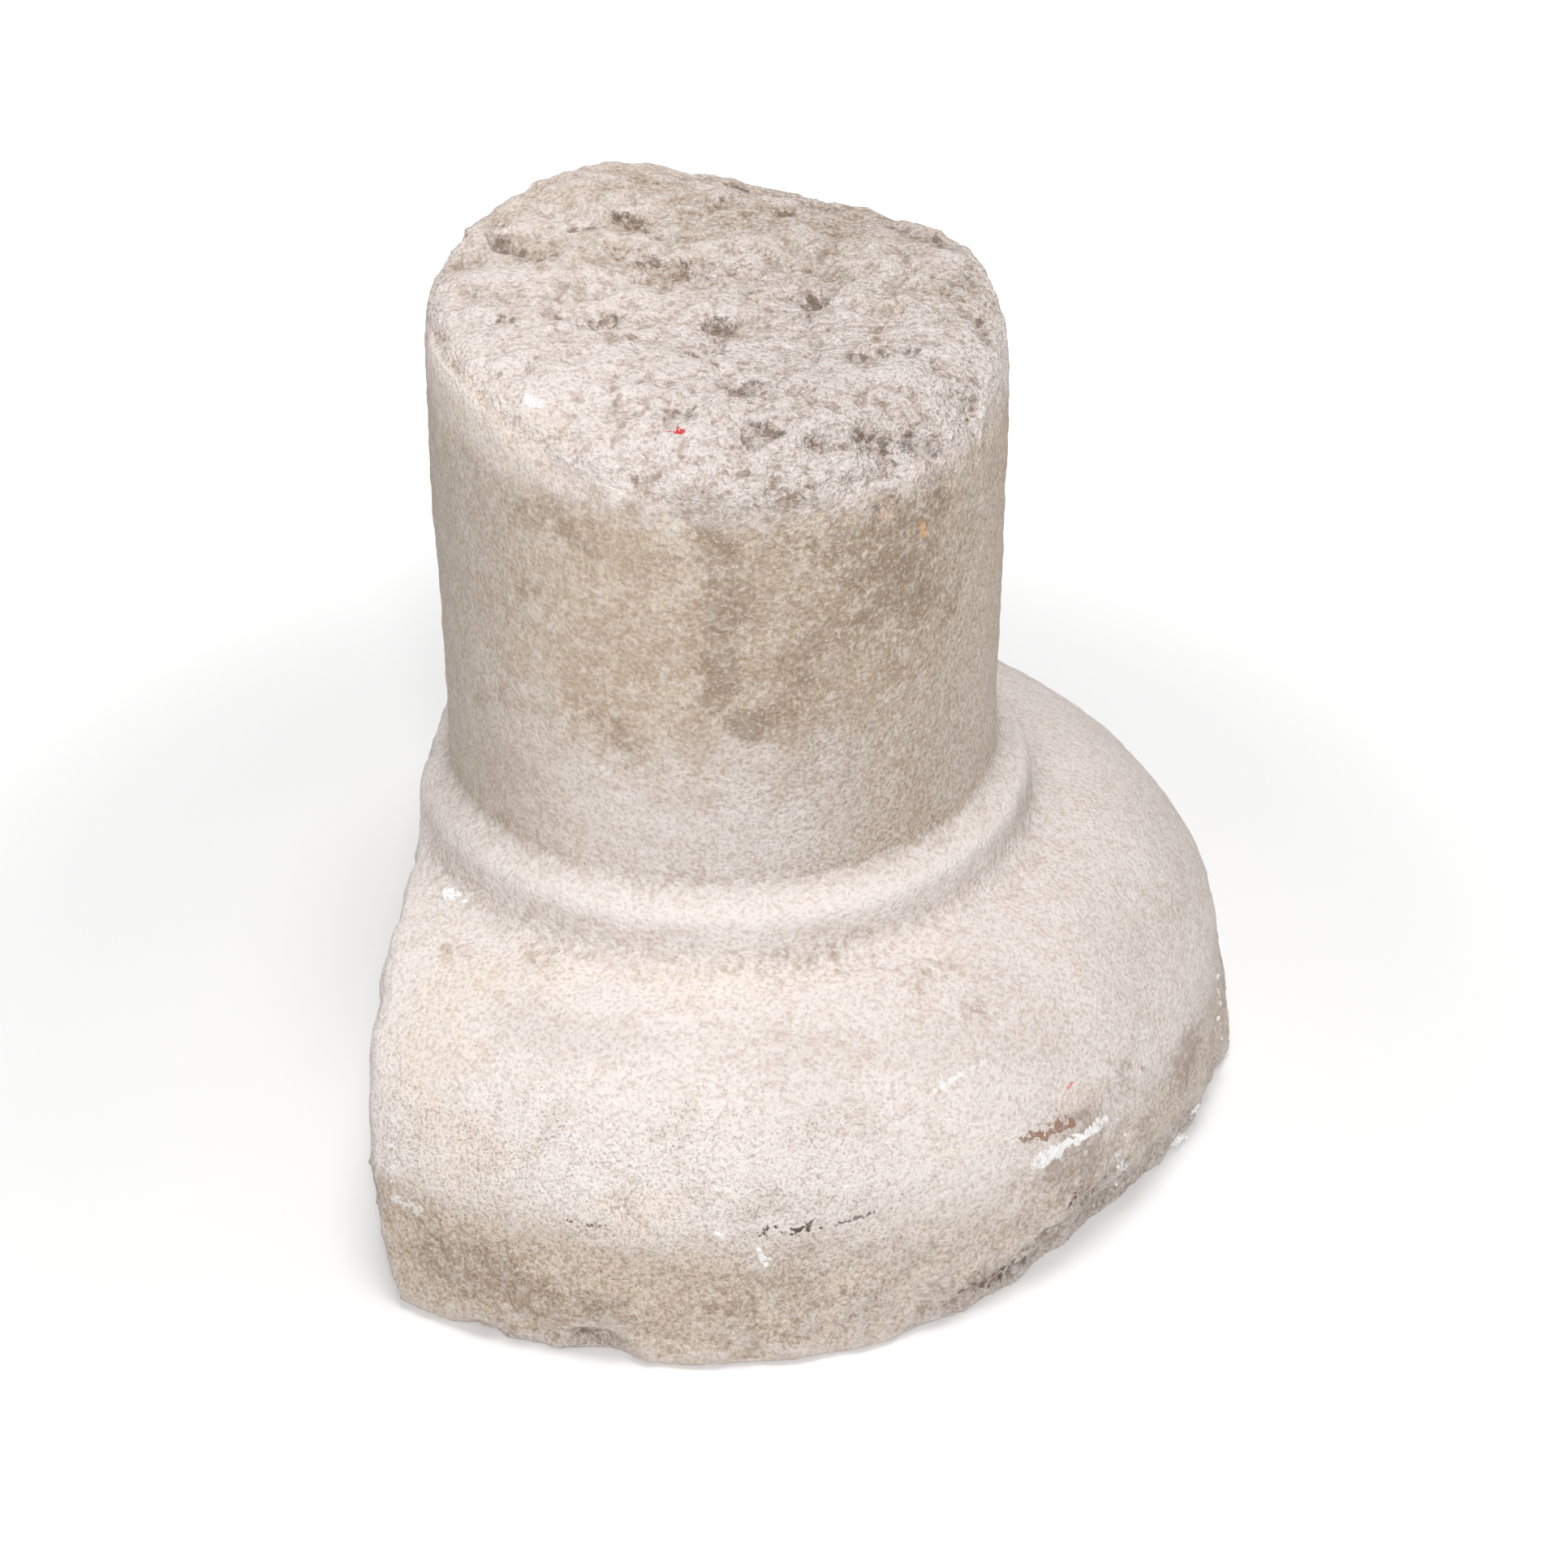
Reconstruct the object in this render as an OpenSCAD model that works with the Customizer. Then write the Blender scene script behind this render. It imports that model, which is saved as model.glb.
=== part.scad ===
// Column base: a round stone base and the stump of its shaft, carved in one block.
// The shaft is broken off above, one side of the base is split away, and the foot is chipped.
// Millimetres. Z is up, and the origin is where the shaft's axis meets the underside.

/* [Shaft] */
// Radius of the shaft where it rises from the collar
shaft_r = 120; // [117:0.5:123]
// Loss of the shaft's radius for each millimetre of height
shaft_taper = 0.01; // [0:0.001:0.02]

/* [Collar] */
// Height of the collar's inner edge above the ground
collar_top = 148; // [146:0.5:152]
// Radius of the collar's rounded edge
collar_r = 135.5; // [134:0.5:137]
// Fall of the collar's sloping top from the shaft to the edge
collar_fall = 6; // [4:0.5:8]
// Height of the collar's upright side
collar_side_h = 13; // [10:0.5:14]
// Width of the hollow that runs out from the collar's side onto the cushion
sweep_w = 9; // [6:0.5:11]

/* [Cushion] */
// Height of the cushion's upper face beside the collar
cushion_top = 120; // [118:0.5:122]
// Radius of the cushion's lower edge
cushion_r = 232.5; // [230:0.5:235]
// Fullness of the cushion's curve, as the length of its upper handle
cushion_fullness = 62; // [50:1:70]
// Slope of the cushion's upper face beside the collar, in degrees
cushion_slope = 5.3; // [3:0.1:8]
// Height of the foot band below the cushion
band_h = 61.5; // [58:0.5:65]
// Radius of the foot band where it meets the ground
foot_r = 244; // [242:0.5:246]
// Wear that rounds the foot's lower edge
foot_round = 4; // [2:0.5:6]
// How far the base's centre lies to the right of the shaft's axis
base_shift_x = -8; // [-10:0.5:0]
// How far the base's centre lies behind the shaft's axis
base_shift_y = 2; // [0:0.5:4]

/* [Broken top] */
// Height of the break above the collar on the shaft's axis
stump_h = 202; // [180:1:220]
// Rise of the break towards the right, for each millimetre
break_rise_x = -0.035; // [-0.08:0.005:0.08]
// Rise of the break towards the back, for each millimetre
break_rise_y = 0.125; // [0.08:0.005:0.16]
// Distance in from the shaft's side over which the break is worn round
rim_wear_w = 44; // [30:1:55]

/* [Split side] */
// Place of the split beside the shaft's axis
split_x = -131.5; // [-134:0.5:-130]
// Drift of the split towards the right, for each millimetre to the back
split_drift = 0.055; // [0.02:0.005:0.08]
// Depth knocked off the split's lower edge at the ground
split_foot_wear = 15; // [8:0.5:18]

/* [Hidden] */

stone_colour = [0.80, 0.75, 0.69];

// Height at which the turned form stops, well above the break
shaft_end = collar_top + 250;
collar_edge_z = collar_top - collar_fall;
collar_foot_z = collar_edge_z - collar_side_h;
// Batter of the collar's upright side
collar_batter = 1.2;
collar_round = 2.5;
sweep_end = collar_r + collar_batter + sweep_w;

curve_steps = 14;
corner_steps = 4;

// The break's skin: rings at these fractions of the shaft's radius, each with this many points
break_rings = [0.16, 0.3, 0.43, 0.55, 0.65, 0.74, 0.81, 0.87, 0.92, 0.96, 0.99, 1.04];
break_turns = 44;

// The split's skin: reach to the front and the back, and its steps along and up
split_reach = 262;
split_low = -12;
split_high = 168;
split_cols = 30;
split_rows = 13;

// Swells (+) and hollows (-) of the break: x, y, half-width along x, half-width along y, rise
break_swells = [
    [-80, 86, 46, 48, 10],
    [-38, 102, 28, 30, 5.5],
    [-92, -58, 40, 38, 7],
    [106, 46, 24, 26, 6],
    [48, 108, 24, 22, -7],
    [-10, 24, 46, 10, -4],
    [-10, 44, 50, 12, 3],
    [12, -24, 52, 26, -3.5],
    [58, -30, 26, 18, -3],
    [-44, -20, 24, 16, -2.5],
    [-84, 34, 14, 11, -4],
    [-40, 54, 13, 10, -3],
    [38, 6, 12, 9, -3.5],
    [10, -62, 14, 11, -3.5],
    [26, 76, 20, 16, 2.5],
    [-20, -74, 40, 16, 2.5],
];

// Wear round the break's rim: azimuth, half-width in degrees, depth worn off at the shaft's side
rim_wears = [
    [-80, 38, 15],
    [-30, 22, 6],
    [12, 14, 3],
    [75, 40, 2],
];
rim_wear_all = 5;

// Swells and hollows of the split: y, z, half-width along y, half-width along z, depth inwards
split_swells = [
    [-186, 44, 16, 14, 3.5],
    [-150, 20, 40, 26, 3],
    [-118, 84, 30, 20, -2.5],
    [-60, 40, 34, 30, 4],
    [-20, 96, 28, 16, 2.5],
    [30, 52, 36, 26, -3],
    [84, 88, 30, 22, 4.5],
    [120, 30, 34, 28, -3.5],
    [170, 64, 26, 26, 5],
];
split_wear_h = 46;

// Chips in the foot band: azimuth, height, depth of the bite, radius of the bite
chips = [
    [-111.3, 0, 9, 12],
    [-106, 0, 5.5, 40],
    [-99, 0, 9, 30],
    [-66, 0, 6.5, 60],
    [-58, 0, 9, 70],
    [-51, 0, 14, 46],
    [-44, 0, 16, 76],
    [-37, 0, 14, 60],
    [-30, 0, 10.5, 90],
    [-20, 0, 8, 110],
    [26, 4, 8, 60],
    [46, 60, 4, 26],
    [68, 2, 5, 30],
    [92, 58, 5, 30],
    [112, 3, 9, 44],
];

// Sum of a list's swells at a place
function swells(list, a, b) =
    [for (s = list) s[4] * exp(-pow((a - s[0]) / s[2], 2) - pow((b - s[1]) / s[3], 2))]
    * [for (s = list) 1];

function turn_between(a, b) = abs((a - b + 540) % 360 - 180);

function rim_depth(az) =
    rim_wear_all + [for (w = rim_wears) w[2] * exp(-pow(turn_between(az, w[0]) / w[1], 2))]
    * [for (w = rim_wears) 1];

// Height of the break at a radius and an azimuth
function break_z(r, az) =
    let (x = r * cos(az), y = r * sin(az), worn = max(0, (r - shaft_r + rim_wear_w) / rim_wear_w))
    collar_top + stump_h + break_rise_x * x + break_rise_y * y + swells(break_swells, x, y)
    - rim_depth(az) * pow(worn, 2.4);

// Place of the split at a distance back and a height
function split_at(y, z) =
    split_x + split_drift * y + swells(split_swells, y, z)
    + split_foot_wear * pow(max(0, (split_wear_h - z) / split_wear_h), 1.5);

function bezier(p, t) =
    pow(1 - t, 3) * p[0] + 3 * pow(1 - t, 2) * t * p[1] + 3 * (1 - t) * t * t * p[2] + pow(t, 3) * p[3];

// Points of an arc or of a quarter of an ellipse
function arc(centre, rx, rz, from, to, steps) =
    [for (i = [0 : steps]) let (a = from + (to - from) * i / steps) centre + [rx * cos(a), rz * sin(a)]];

// Turned form of the cushion and the foot band
module cushion_and_foot() {
    brow = [sweep_end, cushion_top];
    edge = [cushion_r, band_h];
    handle = cushion_fullness * [cos(cushion_slope), -sin(cushion_slope)];
    curve = [for (i = [0 : curve_steps]) bezier([edge, edge + [0, 2], brow + handle, brow], i / curve_steps)];
    foot_corner = [foot_r - foot_round, foot_round];
    outline = concat(
        [[0, 0]],
        arc(foot_corner, foot_round, foot_round, -90, 0, corner_steps),
        curve,
        [[0, cushion_top]]
    );
    translate([base_shift_x, base_shift_y, 0]) rotate_extrude($fn = 180) polygon(outline);
}

// Turned form of the shaft and its collar, down into the cushion
module shaft_and_collar() {
    side_r = collar_r + collar_batter;
    edge_centre = [collar_r - collar_round, collar_edge_z - collar_round];
    sweep_centre = [sweep_end, collar_foot_z];
    sweep_h = collar_foot_z - cushion_top;
    sunk = band_h;
    outline = concat(
        [[0, sunk], [sweep_end, sunk]],
        arc(sweep_centre, side_r - sweep_end, sweep_h, -90, 0, corner_steps),
        arc(edge_centre, collar_round, collar_round, 0, 70, corner_steps),
        [[shaft_r, collar_top], [shaft_r - shaft_taper * (shaft_end - collar_top), shaft_end], [0, shaft_end]]
    );
    rotate_extrude($fn = 180) polygon(outline);
}

// What is missing above the break: a drum whose lower face is the broken surface
module lost_shaft() {
    rings = len(break_rings);
    lid = shaft_end + 10;
    step = 360 / break_turns;
    skin = [for (f = break_rings, i = [0 : break_turns - 1])
        let (r = f * shaft_r, az = i * step) [r * cos(az), r * sin(az), break_z(r, az)]];
    top_ring = [for (i = [0 : break_turns - 1])
        let (r = break_rings[rings - 1] * shaft_r) [r * cos(i * step), r * sin(i * step), lid]];
    points = concat([[0, 0, break_z(0, 0)]], skin, top_ring, [[0, 0, lid]]);
    last = len(points) - 1;
    function at(k, i) = 1 + k * break_turns + i % break_turns;
    faces = [for (i = [0 : break_turns - 1]) each concat(
        [[0, at(0, i), at(0, i + 1)]],
        [for (k = [0 : rings - 1]) each [
            [at(k, i), at(k + 1, i), at(k + 1, i + 1)],
            [at(k, i), at(k + 1, i + 1), at(k, i + 1)],
        ]],
        [[at(rings, i), last, at(rings, i + 1)]]
    )];
    polyhedron(points, faces);
}

// What is missing beside the split: a slab whose inner face is the split surface
module lost_side() {
    cols = split_cols;
    rows = split_rows;
    count = (cols + 1) * (rows + 1);
    far_x = -foot_r - 30;
    grid = [for (i = [0 : cols], j = [0 : rows])
        [split_reach * (2 * i / cols - 1), split_low + (split_high - split_low) * j / rows]];
    points = concat(
        [for (g = grid) [split_at(g[0], g[1]), g[0], g[1]]],
        [for (g = grid) [far_x, g[0], g[1]]]
    );
    function at(i, j, sheet) = sheet * count + i * (rows + 1) + j;
    faces = concat(
        [for (i = [0 : cols - 1], j = [0 : rows - 1]) each [
            [at(i, j, 0), at(i, j + 1, 0), at(i + 1, j + 1, 0)],
            [at(i, j, 0), at(i + 1, j + 1, 0), at(i + 1, j, 0)],
            [at(i, j, 1), at(i + 1, j, 1), at(i + 1, j + 1, 1)],
            [at(i, j, 1), at(i + 1, j + 1, 1), at(i, j + 1, 1)],
        ]],
        [for (i = [0 : cols - 1]) each [
            [at(i, 0, 0), at(i + 1, 0, 0), at(i + 1, 0, 1), at(i, 0, 1)],
            [at(i, rows, 0), at(i, rows, 1), at(i + 1, rows, 1), at(i + 1, rows, 0)],
        ]],
        [for (j = [0 : rows - 1]) each [
            [at(0, j, 0), at(0, j, 1), at(0, j + 1, 1), at(0, j + 1, 0)],
            [at(cols, j, 0), at(cols, j + 1, 0), at(cols, j + 1, 1), at(cols, j, 1)],
        ]]
    );
    polyhedron(points, faces);
}

// Radius of the foot band at a height
function band_r(z) = foot_r + (cushion_r - foot_r) * (z - foot_round) / (band_h - foot_round);

module foot_chips() {
    translate([base_shift_x, base_shift_y, 0])
        for (c = chips) rotate(c[0]) translate([band_r(c[1]) + c[3] - c[2], 0, c[1]]) sphere(c[3], $fn = 64);
}

module column_base() {
    color(stone_colour) difference() {
        union() {
            cushion_and_foot();
            shaft_and_collar();
        }
        lost_shaft();
        lost_side();
        foot_chips();
    }
}

column_base();
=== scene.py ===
"""Looks of a weathered marble column base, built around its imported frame.

The stone is one carved block: a foot band, a cushion moulding, a small collar and the stump of a shaft.
Here it gets its worn relief as mesh, its patina, stains and paint as a node material, and the crumbs of
lime that still cling to it. Lengths are metres unless a name or a comment says millimetres.
"""

import math

import bmesh
import bpy
import numpy as np
from bpy.props import FloatProperty, FloatVectorProperty, IntProperty, PointerProperty
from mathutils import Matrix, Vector


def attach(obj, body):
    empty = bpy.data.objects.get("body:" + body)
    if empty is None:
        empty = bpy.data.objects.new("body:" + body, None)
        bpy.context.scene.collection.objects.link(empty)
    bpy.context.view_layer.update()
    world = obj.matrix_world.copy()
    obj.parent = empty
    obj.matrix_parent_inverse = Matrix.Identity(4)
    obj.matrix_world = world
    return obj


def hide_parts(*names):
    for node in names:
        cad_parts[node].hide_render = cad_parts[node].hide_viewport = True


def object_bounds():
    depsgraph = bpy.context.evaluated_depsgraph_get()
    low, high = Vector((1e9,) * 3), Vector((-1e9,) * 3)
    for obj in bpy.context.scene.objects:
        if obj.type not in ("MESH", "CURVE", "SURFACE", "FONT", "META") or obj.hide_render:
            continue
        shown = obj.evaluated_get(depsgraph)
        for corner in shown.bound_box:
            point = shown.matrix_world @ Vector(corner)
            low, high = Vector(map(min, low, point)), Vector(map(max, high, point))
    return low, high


bl_info = {
    "name": "Weathered Column Base",
    "version": (1, 0, 0),
    "blender": (4, 5, 0),
    "location": "3D View > Sidebar > Column Base",
    "description": "Carves, stains and stages a broken marble column base around its packed frame",
    "category": "Object",
}

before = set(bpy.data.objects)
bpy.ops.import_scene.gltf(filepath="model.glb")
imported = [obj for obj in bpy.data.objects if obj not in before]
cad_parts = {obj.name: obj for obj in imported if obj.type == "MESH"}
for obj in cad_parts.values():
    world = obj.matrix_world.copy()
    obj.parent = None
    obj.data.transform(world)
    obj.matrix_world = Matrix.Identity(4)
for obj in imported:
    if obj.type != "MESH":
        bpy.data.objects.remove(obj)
CAD_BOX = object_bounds()

NODE = "column_base"
BODY = "root"
MM = 0.001

# Heights and radii of the carved form, in millimetres, which the patina and the breaks follow.
SHAFT_R = 120.0
SHAFT_TAPER = 0.01
COLLAR_FOOT = 121.0
COLLAR_TOP = 148.0
CUSHION_R = 232.5
BAND_TOP = 61.5
FOOT_R = 244.0
BASE_SHIFT = (-8.0, 2.0)
SPLIT_X = -108.0
SPLIT_R_ON_COLLAR = 133.5
BREAK_Z = 350.0
BREAK_RISE = (-0.035, 0.125)

# Heights between which a place comes to count as the stump's top, and as open to hollows from above.
STUMP_TOP = (250.0, 280.0)
HOLLOWED_TOP = (262.0, 280.0)

# How far noise moves the edge of a hollow, what the depths of the top's hollows are multiplied by, and
# how far all of it stays inside the CAD model's box. Lengths in millimetres.
HOLLOW_RAGGEDNESS = 16.0
HOLLOW_DEEPENING = 1.4
BOX_MARGIN = 0.02

# Reach is the distance from the middle of a spot in half-widths. Between these two values a hollow, the
# dark paint in it, which is partly soil and partly painted shade, and a cloud of colour grow from nothing
# to their full strength.
HOLLOW_REACH = (1.15, 0.2)
TOP_DIRT_AND_SHADE_REACH = (1.5, 0.3)
SIDE_DIRT_AND_SHADE_REACH = (1.4, 0.4)
CLOUD_REACH = (1.5, 0.0)

# How far one smoothing pass moves a point towards its neighbours: everywhere, on the rim of the break at
# the back and what the front adds, on the foot's arris at the right and what the left adds, on the split.
WEAR_ALL = 0.006
WEAR_RIM = (0.012, 0.36)
WEAR_ARRIS = (0.03, 0.09)
WEAR_SPLIT = 0.03

# Heights in millimetres between which hollows fade in off the ground, and the height and the normal's Z
# below which a point belongs to the flat underside. Lengths under TINY, in metres, count as nothing.
CLEAR_OF_GROUND = (0.5, 3.0)
UNDERSIDE_HEIGHT = 3.0
UNDERSIDE_NORMAL = -0.85
TINY = 1e-6

# Heights in metres between which the relief fades in off the ground, and the two rugged zones of the foot.
OFF_GROUND = (0.0008, 0.005)
FOOT_ZONE = (0.072, 0.045)
LOW_FOOT_ZONE = (0.028, 0.008)

# Noise about its middle spans about a quarter, so this brings it to the height that a setting asks for.
NOISE_GAIN = 4.0
NOISE_MIDDLE = (0.5, 0.5, 0.5)

# Sizes in metres of the noise that gathers grit in patches, tears hollows' edges and lumps the crumbs.
GRIT_PATCH = 0.03
HOLLOW_TEAR = 0.012
CRUMB_LUMP = 0.0018

# Sizes in millimetres of the patterns in the marble, and the depths in metres of the bumps.
WIDE_CLOUD = 60.0
CLOUD = 20.0
STREAK = 9.0
BLOT = 6.0
FLECK = 3.4
CRYSTAL = 1.8
POCK = 5.0
FINE_SPECK = 1.1
COARSE_SPECK = 1.8
LIME_PATCH = 30.0
STONE_BUMP = 0.0016
LIME_BUMP = 0.0006

# Lamps, camera and floor, in metres. The camera's pitch is in degrees below the horizon, its sensor in
# millimetres. The floor glows towards white for the camera alone, more so the further it is away.
TOP_LAMP_PLACE = (0.1, -0.2, 2.2)
TOP_LAMP_SIZE = 0.9
FRONT_LAMP_PLACE = (0.12, -1.75, 1.6)
FRONT_LAMP_SIZE = 0.45
CAMERA_PLACE = (0.0266, -0.9403, 0.7372)
CAMERA_PITCH = 33.34
CAMERA_SENSOR = 36.0
CAMERA_REACH = (0.05, 30.0)
FLOOR_HALF = 8.0
FLOOR_FADE = (0.3, 0.9)
FLOOR_LIFT_NEAR = 0.08
FLOOR_LIFT_FAR = 0.9
WHITE = (1.0, 1.0, 1.0, 1.0)

# Hollows in the broken top: place (x, y), half-widths, turn in degrees, depth, and how dark they are
# painted, from 0 to 1, partly as soil and partly as painted shade. Lengths in millimetres.
TOP_HOLLOWS = [
    ((-10, 22), (44, 7), 9, 3.0, 0.30),
    ((-22, 30), (26, 5), -12, 2.4, 0.55),
    ((-34, 14), (16, 7), -6, 1.4, 0.20),
    ((1, -14), (7, 7), 20, 3.4, 1.00),
    ((-4, -34), (9, 7), 30, 3.0, 0.75),
    ((2, -26), (4, 9), 10, 1.8, 0.50),
    ((38, 9), (8, 7), 0, 3.6, 1.00),
    ((37, -6), (4, 9), 8, 2.0, 0.50),
    ((12, 11), (7, 5), 0, 1.6, 0.55),
    ((-44, -15), (8, 6), 15, 3.0, 0.90),
    ((-60, -16), (9, 5), -30, 2.0, 0.50),
    ((-80, -24), (12, 6), 20, 2.2, 0.50),
    ((12, -64), (11, 6), 38, 3.6, 0.80),
    ((4, -52), (4, 7), 0, 1.4, 0.30),
    ((-88, 39), (9, 5), -28, 3.4, 0.85),
    ((-76, 30), (7, 4), -34, 2.2, 0.60),
    ((-92, 52), (7, 4), -20, 1.8, 0.40),
    ((-37, 57), (9, 6), -40, 3.0, 0.95),
    ((-54, 48), (12, 4), 30, 1.8, 0.55),
    ((-24, 46), (10, 5), -20, 1.4, 0.45),
    ((57, -33), (11, 5), 12, 2.6, 0.75),
    ((74, -29), (9, 4), -10, 2.4, 0.75),
    ((88, -34), (6, 4), -10, 1.4, 0.35),
    ((-12, -84), (9, 5), 40, 2.0, 0.70),
    ((-26, -84), (12, 5), 0, 1.4, 0.35),
    ((18, -92), (11, 5), 22, 2.4, 0.60),
    ((42, -92), (12, 5), 5, 2.6, 0.80),
    ((60, -84), (9, 5), 10, 2.6, 0.85),
    ((78, -78), (10, 6), 25, 2.2, 0.80),
    ((68, -88), (6, 6), 0, 1.4, 0.60),
    ((-75, -62), (9, 6), -20, 1.8, 0.30),
    ((-52, -52), (12, 6), 20, 1.6, 0.30),
    ((-100, -10), (7, 10), 0, 1.4, 0.25),
    ((14, 96), (26, 6), -12, 0.8, 0.60),
    ((-4, 78), (12, 5), 20, 1.4, 0.60),
    ((26, 74), (12, 5), -10, 1.4, 0.55),
    ((44, 84), (10, 5), -20, 0.8, 0.45),
    ((-30, 88), (16, 5), 10, 0.6, 0.40),
    ((80, 66), (16, 6), -34, 2.0, 0.75),
    ((94, 50), (10, 6), -46, 2.0, 0.85),
    ((104, 24), (5, 14), 0, 1.8, 0.60),
    ((106, -8), (5, 12), 0, 1.6, 0.45),
    ((98, -52), (7, 10), 30, 1.8, 0.40),
]

# Hollows elsewhere: place (x, y, z), half-widths along x, y and z, depth, and how dark they are painted,
# partly as soil and partly as painted shade.
SIDE_HOLLOWS = [
    ((-86, -224, 3), (5, 14, 12), 3.0, 0.30),
    ((137, -187, 22), (24, 24, 5), 3.4, 0.75),
    ((124, -196, 10), (12, 12, 6), 2.4, 0.55),
    ((156, -172, 29), (16, 16, 4), 2.4, 0.60),
    ((-52, -236, 12), (20, 12, 6), 1.6, 0.45),
    ((-30, -238, 16), (14, 10, 5), 1.8, 0.30),
    ((-68, -233, 8), (10, 10, 7), 2.0, 0.35),
    ((104, -210, 14), (12, 12, 5), 1.4, 0.50),
    ((84, -83, 322), (7, 9, 10), 1.8, 0.30),
    ((66, -99, 312), (7, 9, 9), 1.2, 0.30),
    ((110, -46, 318), (7, 16, 10), 2.0, 0.20),
    ((112, -42, 292), (7, 12, 12), 1.6, 0.15),
    ((-133, -150, 30), (10, 26, 16), 2.2, 0.20),
    ((-130, -40, 60), (10, 30, 22), 2.6, 0.20),
    ((-122, 60, 40), (10, 34, 20), 3.0, 0.25),
    ((-118, 150, 70), (10, 26, 18), 2.6, 0.20),
    ((90, 66, 250), (10, 10, 14), 1.4, 0.30),
    ((-40, 113, 200), (9, 9, 12), 1.2, 0.30),
    ((40, 228, 63), (16, 9, 7), 3.0, 0.30),
    ((178, 130, 62), (9, 12, 8), 2.6, 0.30),
]

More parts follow.
